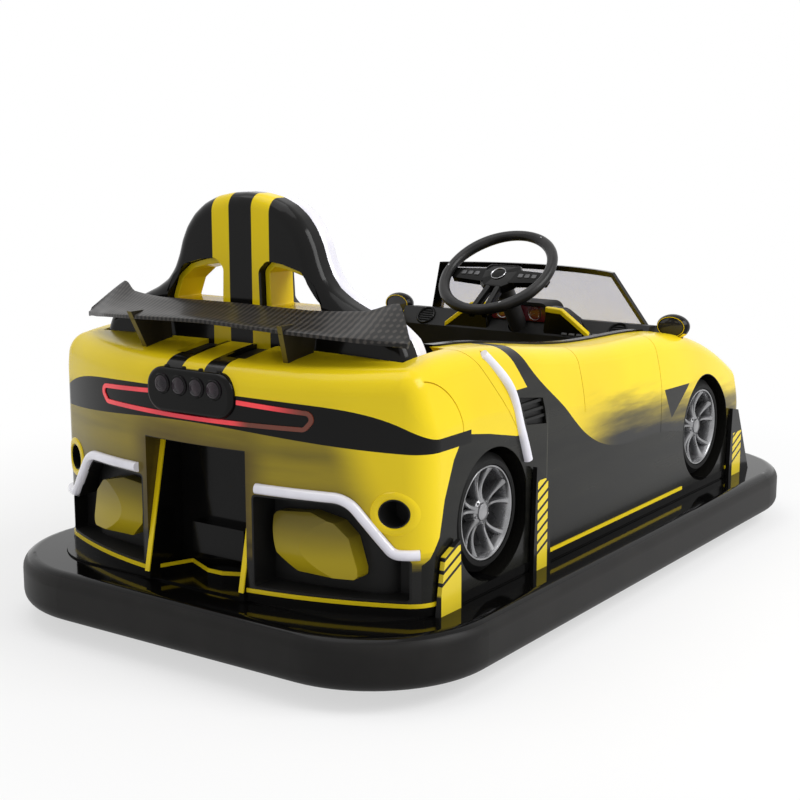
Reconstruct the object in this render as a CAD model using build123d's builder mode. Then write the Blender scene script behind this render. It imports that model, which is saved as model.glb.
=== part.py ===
from build123d import *
import os
from math import cos, radians, sin, sqrt

os.makedirs("parts", exist_ok=True)

# Battery bumper car in the form of a small open sports car, in millimetres.
# +X is forward, +Y is the driver's left, +Z is up, and the floor is at z = 0.

# Base ring and deck
ring_length = 2000
ring_width = 1177
ring_corner = 273
ring_height = 107
ring_band = 96
ring_edge = 30
ground_clearance = 38
deck_gap = 1.4
deck_thickness = 12
deck_proud = 4

ring_top = ground_clearance + ring_height
deck_top = ring_top + deck_proud
deck_bottom = deck_top - deck_thickness
deck_length = ring_length - 2 * (ring_band + deck_gap)
deck_width = ring_width - 2 * (ring_band + deck_gap)
deck_corner = ring_corner - ring_band - deck_gap

# Body in plan
tail_overhang = 11.4
nose_setback = 18.6
side_setback = 1.1
tail_x = -deck_length / 2 - tail_overhang
nose_x = deck_length / 2 - nose_setback
body_half_width = deck_width / 2 - side_setback
tail_bow = 122
nose_bow = 150
plan_corner = 70
body_top = 700
foot_height = 17
body_foot = deck_top + foot_height
edge_round = 50
tail_round_x = -650
nose_round_x = 650
tail_edge_low = 400
nose_edge_low = 250

# Body cross-sections
shoulder_inset = 29
shoulder_half_width = body_half_width - shoulder_inset
side_swell = 4
side_depth = 200
shoulder_radius = 48

# Height of the shoulder and rise of the middle above it, along the body
body_stations = [
    (tail_x - 46, 570, 30),
    (tail_x + 114, 622, 10),
    (-620, 640, 4),
    (-200, 596, 4),
    (200, 572, 4),
    (450, 543, 14),
    (nose_x - 234, 474, 26),
    (nose_x - 64, 378, 34),
    (nose_x + 76, 250, 40),
]

# Depths of what is let into the body: flush panels, pocket floors and pockets
panel_depth = 3
floor_depth = 9
pocket_depth = 14
beyond = 100

# Road wheels moulded in the arches
arch_radius = 138
tyre_radius = 124
tyre_width = 72
tyre_shoulder = 14
rim_radius = 100
rim_lip = 9
rim_dish = 30
spoke_pairs = 5
spoke_splay = 11
spoke_width = 12
hub_radius = 28
hub_cap_radius = 19
hub_cap_height = 6
wheel_z = 303
wheel_inset = 14
hub_standoff = 12
hub_stub_radius = 34
arch_back_y = body_half_width - wheel_inset - tyre_width - hub_standoff
rear_arch_x = -553
front_arch_x = 502

# Seams between the body mouldings
seam_top_x = -606
seam_low_x = -404
seam_top_z = 640
seam_low_z = 394
front_seam_x = 232
seam_gap = 2
door_line_x = -167
door_line_low = 451
line_width = 2

# Cockpit opening
cockpit_rear_x = -655
cockpit_front_x = 452
cockpit_wall = 83
cockpit_half_width = shoulder_half_width - cockpit_wall
cockpit_corner = 90
footwell_front_x = 742
footwell_half_width = 318
footwell_rear = 150
footwell_low_z = 392
footwell_high_z = 500
footwell_slope = 60
rim_strip_width = 20
rim_strip_proud = 4
rim_strip_depth = 26
rim_strip_rear_x = -600
rim_strip_front_x = 350

# Rear wheels and their axle
rear_wheel_radius = 62.5
rear_wheel_width = 45
rear_wheel_y = 340
rear_hub_radius = 34
rear_axle_x = -470
axle_radius = 10
axle_beam = 30
axle_beam_half = 305
axle_cap_radius = 17
axle_cap_y = 366
axle_stub_end = 374
running_gap = 0.06
soft_gap = 0.3

# Chassis tubes and jacking pads
rail_y = 250
rail_width = 40
rail_height = 34
end_tube_rear = 240
end_tube_front = 220
cross_tube_x = (-ring_length / 2 + end_tube_rear, -180, 200, ring_length / 2 - end_tube_front)
jack_pad_x = 330
jack_pad_length = 90
jack_pad_thickness = 6

# Battery
battery_x = -455
battery_length = 340
battery_width = 330
battery_height = 150
battery_gap = 5

# Drive unit
drive_x = 560
drive_wheel_radius = 80
drive_wheel_width = 50
drive_hub_radius = 52
drive_opening_radius = 112
fork_top_gap = 12
cheek_y = 34
cheek_thickness = 8
cheek_foot = 24
crown_length = 100
crown_thickness = 12
bridge_z = 232
bridge_length = 270
bridge_width = 290
bridge_thickness = 8
bridge_corner = 20
bridge_leg = 30
stem_radius = 22
bearing_wall = 10
bearing_height = 40
stem_proud = 26
stem_gap = 6

# Steering wheel and column
wheel_centre = (265, 0, 699)
column_rake = 54.2
grip_circle = 147
grip_radius = 15
hub_depth = 34
pad_length = 88
pad_width = 118
pad_corner = 28
pad_thickness = 26
pad_edge = 7
spoke_thickness = 16
side_spoke = 32
low_spoke = 17
low_spoke_offset = 17
column_radius = 24
shaft_radius = 12.5
column_top_gap = 12
column_length = 392
column_clearance = 4
shaft_end_gap = 12
bore_end_gap = 8
gear_box_length = 130
gear_box_width = 110
gear_box_corner = 16
gear_box_low = 312
gear_box_high = 392
gear_box_setback = 20
gear_foot = 14
gear_foot_length = 90

# Seat
seat_gap = 7
seat_depth = 90
seat_back_front_x = cockpit_rear_x - seat_gap
seat_back_x = seat_back_front_x - seat_depth
seat_step_z = 602
seat_step_gap = 60
seat_top = 947
seat_edge = 26
seat_light_rear = 34
seat_light_width = 32
seat_light_depth = 12
seat_outline = [(404, seat_step_z), (398, 668), (290, 735), (166, 742), (148, seat_top)]
seat_bends = [60, 110, 45, 112]
slot_outline = [(66, 738), (66, 838), (102, 838), (142, 738)]
slot_wall = 9
slot_corner = 8
seat_base_length = 400
seat_base_gap = 1
seat_base_half = 280
seat_base_top = 330
cushion_length = 340
cushion_width = 400
cushion_corner = 50
cushion_height = 70
cushion_setback = 20
back_pad_depth = 46
back_pad_low = 652
back_pad_high = 905
back_pad_half = 150
back_pad_top_half = 88

# Wing, from the middle outwards: distance from the middle, then the rear and the front
# edge as place ahead of the tail and height
wing_stations = [
    (0, 37, 690, 132, 716),
    (200, 46, 683, 138, 713),
    (310, 79, 675, 169, 716),
    (370, 111, 668, 199, 732),
    (427, 142, 664, 152, 673),
]
wing_camber = 6
wing_thickness = 9
strut_y = 184
strut_top_y = 200
strut_thickness = 12
strut_foot = (86, 149)
strut_top = (39, 154)
strut_low = 590
strut_high = 700

# Lamp pod
pod_z = 556
pod_width = 228
pod_height = 92
pod_corner = 40
pod_edge = 10
pod_proud = 6
pod_depth = 70
lens_radius = 21
lens_pitch = 46
lens_count = 4
lens_z = 569
lens_depth = 20
lens_proud = 2
pod_rear_x = tail_x - pod_proud
pod_front_x = pod_rear_x + pod_depth

# Light band across the tail, seen from behind
band_top = [(510, 476), (436, 524), (257, 555), (0, 562)]
band_low = [(510, 466), (333, 476), (0, 497)]
band_front_x = -640
band_depth = 6
lamp_strip = [(118, 548), (292, 537), (264, 506), (0, 494)]
lamp_strip_width = 9
lamp_strip_bend = 12
lamp_proud = 3

# Diffuser between the fins at the tail
fin_y = 134
fin_thickness = 12
fin_foot_proud = 2
fin_top_setback = 56
diffuser_depth = 114
diffuser_top = 436
diffuser_wall = 12
diffuser_fall = 30
diffuser_x = tail_x + diffuser_depth
foot_line = [(29, fin_y - fin_thickness), (97, 94), (62, 20)]
carrier_half = 70
carrier_low = 200
carrier_high = 265
carrier_depth = 28

# Trim line and skirt
trim_height = 8
trim_proud = 3
splitter_proud = 8
splitter_height = 9
splitter_x = 782
trim_rear_x = -335

# Hollows in the lower rear corners, seen from behind: distance in from the body's side
# and height; the inner edge stands beside the fin
corner_gap = 13
corner_low = 176
corner_top = [(190, 368), (149, 364), (115, 333), (91, 303), (63, 266), (28, 262)]
corner_round = 10
corner_depth = 75
corner_wall = 4
corner_front = 149
barrel_outline = [(169, 328), (254, 336), (313, 323), (342, 295), (359, 233), (359, 213),
                  (225, 213), (183, 249)]
barrel_round = 10
barrel_radius = 105
barrel_x = 144
barrel_z = 272
barrel_inset = 12
outlet_inset = 59
outlet_z = 352
outlet_radius = 30
outlet_wall = 4
outlet_front = 140

# Light tubes: distance in from the body's side and height
tube_radius = 9.5
side_tube_bend = 60
side_tube = [(-552, 38, 628), (-480, 13, 556), (-446, 1, 450), (-422, 0, 392)]
rear_tube = [(330, 381), (143, 377), (58, 272), (16, 272)]
rear_tube_bends = [60, 26]

# Black panels on the flanks, vents and patches, seen from the side
flank_edge = [(-436, 660), (-367, 560), (-264, 481), (-175, 412), (-41, 354), (227, 338),
              (370, 317), (front_arch_x, 312)]
wedge_tip = (-412, 543)
wedge_top = (-488, 660)
arch_panel = [(-380, 446), (-464, 449), (-571, 472), (-668, 488), (-703, 443), (-735, 370),
              (-752, 300), (-776, 262), (-792, 250)]
arch_panel_inner = 40
vent_outline = [(-453, 527), (-352, 512), (-340, 455), (-424, 465)]
vent_bar = 6
vent_pitch = 17
vent_bars = 3
front_patch = [(248, 439), (396, 435), (294, 362)]
haunch_line = [(-773, 605), (-700, 568), (-667, 487)]
scoop_inner = 40
scoop_outer = 92
scoop_front_x = -735
scoop_low = 300

# Fins at the corners, seen from the side
corner_fins_outlines = [
    [(-772, ring_top), (-690, ring_top), (-698, 285), (-752, 262)],
    [(-410, ring_top), (-335, ring_top), (-348, 330), (-400, 372)],
    [(640, ring_top), (775, ring_top), (690, 322), (652, 330)],
]
corner_fin_gap = 3.4
corner_fin_thickness = 10

# Front: lamps and mouth, seen from the front
headlamp_depth = 5
headlamp_outline = [(236, 392), (300, 420), (420, 428), (440, 392), (330, 356)]
mouth_half = 200
mouth_low = 196
mouth_high = 272
mouth_depth = 34
mouth_corner = 24
slat_count = 4
slat_gap = 9
slat_depth = 24

# Windscreen
screen_foot = (476, 352, 526)
screen_foot_middle_x = 590
screen_top = (393, 265, 701)
screen_top_middle_x = 485
screen_frame = 16
screen_glass = 6
pane_low = (322, 546)
pane_high = (252, 686)

# Dashboard with its instrument hood
dash_rear_x = 352
dash_front_x = 452
dash_low = 430
dash_lip = 530
dash_top = 572
dash_fall = 6
dash_top_x = 392
hood_half = 96
hood_rear_x = 366
hood_height = 40
hood_round = 26
hood_recess = 14
hood_wall = 9

# Mirrors: egg-shaped housings on short feet
mirror_x = 430
mirror_inset = 65
mirror_z = 571
# Place behind or ahead of the mirror's middle, and half its width and height there
mirror_stations = [
    (-18, 38, 27),
    (-9, 43, 30.3),
    (0, 44, 31),
    (10, 41, 28.8),
    (19, 31.3, 22),
    (25, 17, 12),
]
mirror_recess = 3
mirror_lip = 4
mirror_foot_radius = 9
mirror_foot_inset = 48
mirror_foot_low = 520

# Pedal
pedal_x = 362
pedal_width = 70
pedal_thickness = 10
pedal_rise = 104
pedal_base = 56
pedal_arm = 12


def body_plan(inset=0):
    """Outline of the body seen from above, drawn in by the inset."""
    half = body_half_width - inset
    with BuildSketch() as plan:
        with BuildLine():
            ThreePointArc((tail_x + tail_bow, -half), (tail_x + inset, 0), (tail_x + tail_bow, half))
            Line((tail_x + tail_bow, half), (nose_x - nose_bow, half))
            ThreePointArc((nose_x - nose_bow, half), (nose_x - inset, 0), (nose_x - nose_bow, -half))
            Line((nose_x - nose_bow, -half), (tail_x + tail_bow, -half))
        make_face()
        fillet(plan.vertices(), plan_corner)
    return plan.sketch


def tail_surface_x(y):
    """Place of the body's rear outline at a distance from the middle."""
    sweep_radius = (tail_bow ** 2 + body_half_width ** 2) / (2 * tail_bow)
    centre = tail_x + sweep_radius
    corner_y = body_half_width - plan_corner
    inner_radius = sweep_radius - plan_corner
    if y < corner_y * sweep_radius / inner_radius:
        return centre - sqrt(sweep_radius ** 2 - y ** 2)
    corner_x = centre - sqrt(inner_radius ** 2 - corner_y ** 2)
    return corner_x - sqrt(plan_corner ** 2 - (y - corner_y) ** 2)


def body_section(x, shoulder_z, crown, inset=0):
    """One cross-section of the body: upright sides that curve in to rounded shoulders."""
    top = shoulder_z - inset
    reach = shoulder_half_width - inset
    widest = body_half_width + side_swell - inset
    low = top - side_depth
    with BuildSketch(Plane.YZ.offset(x)) as section:
        with BuildLine():
            Line((-widest, 0), (widest, 0))
            Line((widest, 0), (widest, low))
            TangentArc((widest, low), (reach, top), tangent=(0, 1))
            ThreePointArc((reach, top), (0, top + crown), (-reach, top))
            TangentArc((-widest, low), (-reach, top), tangent=(0, 1))
            Line((-widest, low), (-widest, 0))
        make_face()
        shoulders = [v for v in section.vertices() if abs(v.Y - top) < 1 and abs(v.X) > reach - 1]
        fillet(shoulders, shoulder_radius)
    return section.sketch


def body_form(inset=0):
    """The outer form of the body, drawn in by the inset."""
    with BuildPart() as form:
        for x, shoulder_z, crown in body_stations:
            add(body_section(x, shoulder_z, crown, inset))
        loft()
        with BuildSketch(Plane.XY.offset(body_foot)):
            add(body_plan(inset))
        extrude(amount=body_top - body_foot, mode=Mode.INTERSECT)
    return form.part


def prism_xz(points, from_y=-ring_width / 2, to_y=ring_width / 2):
    """Solid cut from a side-view outline between two places across the car."""
    with BuildPart() as prism:
        with BuildSketch(Plane.XZ.offset(-to_y)):
            with BuildLine():
                Polyline(*points, close=True)
            make_face()
        extrude(amount=to_y - from_y)
    return prism.part


def prism_yz(points, from_x, to_x):
    """Solid cut from a rear-view outline between two places along the car."""
    with BuildPart() as prism:
        with BuildSketch(Plane.YZ.offset(from_x)):
            with BuildLine():
                Polyline(*points, close=True)
            make_face()
        extrude(amount=to_x - from_x)
    return prism.part


def block(from_x, to_x, from_y, to_y, from_z, to_z):
    """Box between two places on each axis."""
    with BuildPart() as box:
        with BuildSketch(Plane.XY.offset(from_z)):
            with Locations(((from_x + to_x) / 2, (from_y + to_y) / 2)):
                Rectangle(to_x - from_x, to_y - from_y)
        extrude(amount=to_z - from_z)
    return box.part


def plan_block(inset, low=0, high=body_top):
    """Upright block over the body's outline seen from above."""
    with BuildPart() as upright:
        with BuildSketch(Plane.XY.offset(low)):
            add(body_plan(inset))
        extrude(amount=high - low)
    return upright.part


def mirrored(part):
    """The part and its copy on the other side of the car."""
    with BuildPart() as pair:
        add(part)
        mirror(about=Plane.XZ)
    return pair.part


def tube(points, radii, radius):
    """Round tube along straight runs joined by tangent arcs."""
    with BuildPart() as swept:
        with BuildLine() as path:
            FilletPolyline(*points, radius=radii)
        with BuildSketch(path.line ^ 0):
            Circle(radius)
        sweep()
    return swept.part


def inlay(zone, outer, inner):
    """What lies in a zone between an outer and an inner form of the body."""
    with BuildPart() as layer:
        add(outer)
        add(zone, mode=Mode.INTERSECT)
        add(inner, mode=Mode.SUBTRACT)
    return layer.part


def screen_solid(thickness):
    """Curved windscreen shell between its foot and its top."""
    with BuildPart() as shell:
        for (x, y, z), middle_x in ((screen_foot, screen_foot_middle_x),
                                    (screen_top, screen_top_middle_x)):
            with BuildSketch(Plane.XY.offset(z)):
                with BuildLine():
                    ThreePointArc((x, -y), (middle_x, 0), (x, y))
                    Line((x, y), (x + thickness, y))
                    ThreePointArc((x + thickness, y), (middle_x + thickness, 0),
                                  (x + thickness, -y))
                    Line((x + thickness, -y), (x, -y))
                make_face()
        loft(ruled=True)
    return shell.part


parts = {}


def keep(name, solid):
    """Label a finished piece and remember it for export."""
    solid.label = name
    parts[name] = solid


# Bumper ring
with BuildPart() as bumper_ring:
    with BuildSketch(Plane.XY.offset(ground_clearance)):
        RectangleRounded(ring_length, ring_width, ring_corner)
    extrude(amount=ring_height)
    ends = bumper_ring.faces().filter_by(Axis.Z)
    fillet(ends.edges(), ring_edge)
    with BuildSketch(Plane.XY.offset(ground_clearance)):
        RectangleRounded(ring_length - 2 * ring_band, ring_width - 2 * ring_band,
                         ring_corner - ring_band)
    extrude(amount=ring_height, mode=Mode.SUBTRACT)
keep("bumper_ring", bumper_ring.part)

# Deck with the round opening over the drive wheel
with BuildPart() as deck:
    with BuildSketch(Plane.XY.offset(deck_bottom)):
        RectangleRounded(deck_length, deck_width, deck_corner)
        with Locations((drive_x, 0)):
            Circle(drive_opening_radius, mode=Mode.SUBTRACT)
    extrude(amount=deck_thickness)
keep("deck", deck.part)

# Chassis: two rails and four cross tubes under the deck, tied to the ring, with jacking pads
with BuildPart() as chassis_frame:
    with BuildSketch(Plane.XY.offset(deck_bottom)):
        with Locations((0, rail_y), (0, -rail_y)):
            Rectangle(ring_length - 2 * ring_band, rail_width)
        with Locations(*[(x, 0) for x in cross_tube_x]):
            Rectangle(rail_width, ring_width - 2 * ring_band)
        RectangleRounded(ring_length - 2 * ring_band, ring_width - 2 * ring_band,
                         ring_corner - ring_band, mode=Mode.INTERSECT)
    extrude(amount=-rail_height)
    with BuildSketch(Plane.XY.offset(deck_bottom - rail_height)):
        with GridLocations(2 * jack_pad_x, 2 * rail_y, 2, 2):
            Rectangle(jack_pad_length, rail_width)
    extrude(amount=-jack_pad_thickness)
keep("chassis_frame", chassis_frame.part)

# Battery block under the seat
with BuildPart() as battery:
    with BuildSketch(Plane.XY.offset(deck_top)):
        with Locations((battery_x, 0)):
            Rectangle(battery_length, battery_width)
    extrude(amount=battery_height)
keep("battery", battery.part)

# Rear axle: square beam on two hangers, with a stub at each end
with BuildPart() as rear_axle:
    with BuildSketch(Plane.XZ):
        with Locations((rear_axle_x, rear_wheel_radius)):
            Rectangle(axle_beam, axle_beam)
    extrude(amount=axle_beam_half, both=True)
    with BuildSketch(Plane.XZ):
        with Locations((rear_axle_x, rear_wheel_radius)):
            Circle(axle_radius)
    extrude(amount=axle_stub_end, both=True)
    with BuildSketch(Plane.XY.offset(rear_wheel_radius)):
        with Locations((rear_axle_x, rail_y), (rear_axle_x, -rail_y)):
            Rectangle(axle_beam, rail_width)
    extrude(amount=deck_bottom - rail_height - rear_wheel_radius)
    with BuildSketch(Plane.XZ.offset(axle_cap_y)):
        with Locations((rear_axle_x, rear_wheel_radius)):
            Circle(axle_cap_radius)
    extrude(amount=axle_stub_end - axle_cap_y)
    with BuildSketch(Plane.XZ.offset(-axle_stub_end)):
        with Locations((rear_axle_x, rear_wheel_radius)):
            Circle(axle_cap_radius)
    extrude(amount=axle_stub_end - axle_cap_y)
keep("rear_axle", rear_axle.part)


def running_wheel(place, radius, width, bore_wall_radius, bore_radius):
    """Solid tyre and hub of a small running wheel, centred at the place."""
    plane = Plane(origin=place, x_dir=(1, 0, 0), z_dir=(0, 1, 0))
    with BuildPart() as tyre:
        with BuildSketch(plane):
            Circle(radius)
        extrude(amount=width / 2, both=True)
        chamfer(tyre.edges(), width / 5)
        with BuildSketch(plane):
            Circle(bore_wall_radius)
        extrude(amount=width, both=True, mode=Mode.SUBTRACT)
    with BuildPart() as hub:
        with BuildSketch(plane):
            Circle(bore_wall_radius)
            Circle(bore_radius, mode=Mode.SUBTRACT)
        extrude(amount=width / 2, both=True)
    return tyre.part, hub.part


for side, name in ((1, "left"), (-1, "right")):
    tyre_part, hub_part = running_wheel(
        (rear_axle_x, side * rear_wheel_y, rear_wheel_radius), rear_wheel_radius,
        rear_wheel_width, rear_hub_radius, axle_radius + running_gap)
    keep("rear_tyre_" + name, tyre_part)
    keep("rear_hub_" + name, hub_part)

# Drive unit: bridge over the wheel, turning fork and hub-motor wheel
with BuildPart() as drive_bridge:
    with BuildSketch(Plane.XY.offset(bridge_z)):
        with Locations((drive_x, 0)):
            RectangleRounded(bridge_length, bridge_width, bridge_corner)
            Circle(stem_radius + running_gap, mode=Mode.SUBTRACT)
    extrude(amount=bridge_thickness)
    with BuildSketch(Plane.XY.offset(bridge_z + bridge_thickness)):
        with Locations((drive_x, 0)):
            Circle(stem_radius + bearing_wall)
            Circle(stem_radius + running_gap, mode=Mode.SUBTRACT)
    extrude(amount=bearing_height)
    with BuildSketch(Plane.XY.offset(deck_top)):
        with Locations((drive_x, 0)):
            with GridLocations(bridge_length - bridge_leg, bridge_width - bridge_leg, 2, 2):
                Rectangle(bridge_leg, bridge_leg)
    extrude(amount=bridge_z - deck_top)
keep("drive_bridge", drive_bridge.part)

crown_z = drive_wheel_radius * 2 + fork_top_gap
with BuildPart() as drive_fork:
    with BuildSketch(Plane.XY.offset(crown_z)):
        with Locations((drive_x, 0)):
            Rectangle(crown_length, 2 * (cheek_y + cheek_thickness))
    extrude(amount=crown_thickness)
    with BuildSketch(Plane.XZ):
        with BuildLine():
            Polyline((drive_x - crown_length / 2, crown_z), (drive_x + crown_length / 2, crown_z),
                     (drive_x + cheek_foot, drive_wheel_radius),
                     (drive_x - cheek_foot, drive_wheel_radius), close=True)
        make_face()
        with Locations((drive_x, drive_wheel_radius)):
            Circle(cheek_foot)
    extrude(amount=cheek_y + cheek_thickness, both=True)
    with BuildSketch(Plane.XZ):
        with Locations((drive_x, (crown_z - drive_wheel_radius) / 2)):
            Rectangle(crown_length, crown_z + drive_wheel_radius)
    extrude(amount=cheek_y, both=True, mode=Mode.SUBTRACT)
    with BuildSketch(Plane.XZ):
        with Locations((drive_x, drive_wheel_radius)):
            Circle(axle_radius)
    extrude(amount=cheek_y, both=True)
    with BuildSketch(Plane.XY.offset(crown_z + crown_thickness)):
        with Locations((drive_x, 0)):
            Circle(stem_radius)
    extrude(amount=bridge_z + bridge_thickness + bearing_height + stem_proud - crown_z
            - crown_thickness)
    with BuildSketch(Plane.XY.offset(bridge_z + bridge_thickness + bearing_height + stem_gap)):
        with Locations((drive_x, 0)):
            Circle(stem_radius + bearing_wall)
    extrude(amount=stem_proud - stem_gap)
keep("drive_fork", drive_fork.part)

tyre_part, hub_part = running_wheel((drive_x, 0, drive_wheel_radius), drive_wheel_radius,
                                    drive_wheel_width, drive_hub_radius,
                                    axle_radius + running_gap)
keep("drive_tyre", tyre_part)
keep("drive_hub", hub_part)

rake = radians(column_rake)
wheel_plane = Plane(origin=wheel_centre, x_dir=(sin(rake), 0, cos(rake)),
                    z_dir=(-cos(rake), 0, sin(rake)))
dash_outline = [(dash_rear_x, dash_low), (dash_front_x, dash_low),
                (dash_front_x, dash_top - dash_fall), (dash_top_x, dash_top),
                (dash_rear_x, dash_lip)]

# Outer form of the body with its rounded tail and nose, and the forms set into it
with BuildPart() as rounded:
    add(body_form())
    end_edges = [e for e in rounded.edges()
                 if (e.bounding_box().max.X < tail_round_x and e.bounding_box().min.Z > tail_edge_low)
                 or (e.bounding_box().min.X > nose_round_x and e.bounding_box().min.Z > nose_edge_low)]
    fillet(end_edges, edge_round)
body = rounded.part
panel_form = body_form(panel_depth)
floor_form = body_form(floor_depth)
pocket_form = body_form(pocket_depth)

# Light tubes along the side seams and over the rear corners
side_path = [(x, body_half_width - inward, z) for x, inward, z in side_tube]
rear_path = [(tail_surface_x(body_half_width - inward), body_half_width - inward, z)
             for inward, z in rear_tube]
light_pair = [tube(side_path, side_tube_bend, tube_radius),
              tube(rear_path, rear_tube_bends, tube_radius)]
groove_pair = [tube(side_path, side_tube_bend, tube_radius + soft_gap),
               tube(rear_path, rear_tube_bends, tube_radius + soft_gap)]

# Openings that are cut from the body: arches, cockpit, seat step, tail and nose
arches = []
for arch_x in (rear_arch_x, front_arch_x):
    with BuildPart() as arch:
        with BuildSketch(Plane.XZ):
            with Locations((arch_x, wheel_z)):
                Circle(arch_radius)
        extrude(amount=ring_width / 2, both=True)
        with BuildSketch(Plane.XZ):
            with Locations((arch_x, wheel_z)):
                Circle(arch_radius + line_width)
        extrude(amount=arch_back_y, both=True, mode=Mode.SUBTRACT)
    arches.append(arch.part)

with BuildPart() as cockpit:
    with BuildSketch(Plane.XY.offset(deck_top)):
        with Locations(((cockpit_rear_x + cockpit_front_x) / 2, 0)):
            RectangleRounded(cockpit_front_x - cockpit_rear_x, 2 * cockpit_half_width,
                             cockpit_corner)
    extrude(amount=body_top)
    add(prism_xz([(cockpit_front_x - footwell_rear, deck_top), (footwell_front_x, deck_top),
                  (footwell_front_x, footwell_low_z),
                  (cockpit_front_x + footwell_slope, footwell_high_z),
                  (cockpit_front_x - footwell_rear, footwell_high_z)],
                 -footwell_half_width, footwell_half_width))
    add(prism_xz(dash_outline, -cockpit_half_width, cockpit_half_width))
    add(screen_solid(screen_frame))

seat_half = seat_outline[0][0]
seat_step = block(seat_back_x, cockpit_rear_x + seat_step_gap, -seat_half, seat_half,
                  seat_step_z, seat_step_z + body_top)
diffuser_recess = prism_xz([(tail_x - beyond, deck_top), (diffuser_x, deck_top),
                            (diffuser_x, diffuser_top),
                            (tail_x - beyond, diffuser_top + diffuser_fall)], -fin_y, fin_y)

with BuildPart() as band_prism:
    with BuildSketch(Plane.YZ.offset(tail_x - beyond)):
        with BuildLine():
            Spline(*band_top, *[(-y, z) for y, z in band_top[-2::-1]])
            Line((-band_top[0][0], band_top[0][1]), (-band_low[0][0], band_low[0][1]))
            Spline(*[(-y, z) for y, z in band_low], *band_low[-2::-1])
            Line(band_low[0], band_top[0])
        make_face()
    extrude(amount=band_front_x - tail_x + beyond)

with BuildPart() as pod_prism:
    with BuildSketch(Plane.YZ.offset(pod_rear_x)):
        with Locations((0, pod_z)):
            RectangleRounded(pod_width, pod_height, pod_corner)
    extrude(amount=pod_depth)

corner_outline = [(fin_y + corner_gap, corner_low), (fin_y + corner_gap, corner_top[0][1])]
corner_outline += [(body_half_width - inward, z) for inward, z in corner_top]
corner_outline.append((corner_outline[-1][0], corner_low))


def corner_pocket(wall):
    """Hollow in a lower rear corner, less a wall all round and at the back."""
    with BuildPart() as pocket:
        with BuildSketch(Plane.YZ.offset(tail_x - beyond)) as mouth:
            with BuildLine():
                Polyline(*corner_outline, close=True)
            make_face()
            fillet(mouth.vertices(), corner_round)
            if wall:
                offset(amount=-wall, mode=Mode.REPLACE)
        extrude(amount=beyond + corner_front - wall)
        add(plan_block(corner_depth - wall), mode=Mode.SUBTRACT)
    return pocket.part


def outlet_bore(radius, front):
    """Round bore in a rear corner, along the car."""
    with BuildPart() as bore:
        with BuildSketch(Plane.YZ.offset(tail_x - beyond)):
            with Locations((body_half_width - outlet_inset, outlet_z)):
                Circle(radius)
        extrude(amount=beyond + front)
    return bore.part


corner_cut = mirrored(corner_pocket(0))
outlet_cut = mirrored(outlet_bore(outlet_radius, outlet_front))

# Zones of the black panels, vents, scoops and seam lines
tube_line = [(x, z) for x, inward, z in side_tube]
with BuildPart() as flank_zone:
    with BuildSketch(Plane.XZ):
        with BuildLine():
            Spline(*flank_edge)
            Polyline(flank_edge[-1], (front_arch_x, deck_top), (tube_line[-1][0], deck_top),
                     tube_line[-1], tube_line[-2], (tube_line[1][0], wedge_tip[1]), wedge_tip,
                     wedge_top, flank_edge[0])
        make_face()
    extrude(amount=ring_width / 2, both=True)
with BuildPart() as arch_zone:
    with BuildSketch(Plane.XZ):
        with BuildLine():
            Polyline(*arch_panel, (arch_panel[-1][0], deck_top), (arch_panel[0][0], deck_top),
                     close=True)
        make_face()
    extrude(amount=ring_width / 2, both=True)
    add(block(tail_x - beyond, 0, arch_panel_inner - body_half_width,
              body_half_width - arch_panel_inner, deck_top, body_top), mode=Mode.SUBTRACT)
vent_zone = prism_xz(vent_outline)
patch_zone = prism_xz(front_patch)
scoop_zone = mirrored(block(pod_front_x, scoop_front_x, scoop_inner, scoop_outer,
                            scoop_low, body_top))
door_zone = block(door_line_x, door_line_x + line_width, -ring_width / 2, ring_width / 2,
                  door_line_low, body_top)
lower_haunch = [(x - line_width, z - line_width) for x, z in haunch_line[::-1]]
with BuildPart() as haunch_zone:
    with BuildSketch(Plane.XZ):
        with BuildLine():
            ThreePointArc(*haunch_line)
            Line(haunch_line[-1], lower_haunch[0])
            ThreePointArc(*lower_haunch)
            Line(lower_haunch[-1], haunch_line[0])
        make_face()
    extrude(amount=ring_width / 2, both=True)

seam_lean = (seam_top_x - seam_low_x) / (seam_top_z - seam_low_z)


def side_zone(rear_shift, front):
    """Block of the side mouldings, from the rear seam to a place further forward."""
    foot = seam_low_x + rear_shift
    top = foot + (body_top - seam_low_z) * seam_lean
    return prism_xz([(foot, 0), (foot, seam_low_z), (top, body_top), (front, body_top), (front, 0)])


flank_layer = inlay(flank_zone.part, body, panel_form)
patch_layer = inlay(patch_zone, body, panel_form)
arch_layer = inlay(arch_zone.part, body, panel_form)
vent_layer = inlay(vent_zone, body, pocket_form)
scoop_layer = inlay(scoop_zone, body, pocket_form)
door_layer = inlay(door_zone, body, panel_form)
haunch_layer = inlay(haunch_zone.part, body, panel_form)
band_layer = inlay(band_prism.part, body, plan_block(band_depth))

# Body mouldings
with BuildPart() as body_tail:
    add(body)
    add(side_zone(-seam_gap / 2, ring_length), mode=Mode.SUBTRACT)
    for cut in (cockpit.part, seat_step, arches[0], diffuser_recess, pod_prism.part, corner_cut,
                outlet_cut, band_layer, scoop_layer, arch_layer, haunch_layer):
        add(cut, mode=Mode.SUBTRACT)
    for groove in groove_pair:
        add(mirrored(groove), mode=Mode.SUBTRACT)
keep("body_tail", body_tail.part)

with BuildPart() as tail_band:
    add(band_layer)
    add(pod_prism.part, mode=Mode.SUBTRACT)
keep("tail_band", tail_band.part)

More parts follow.
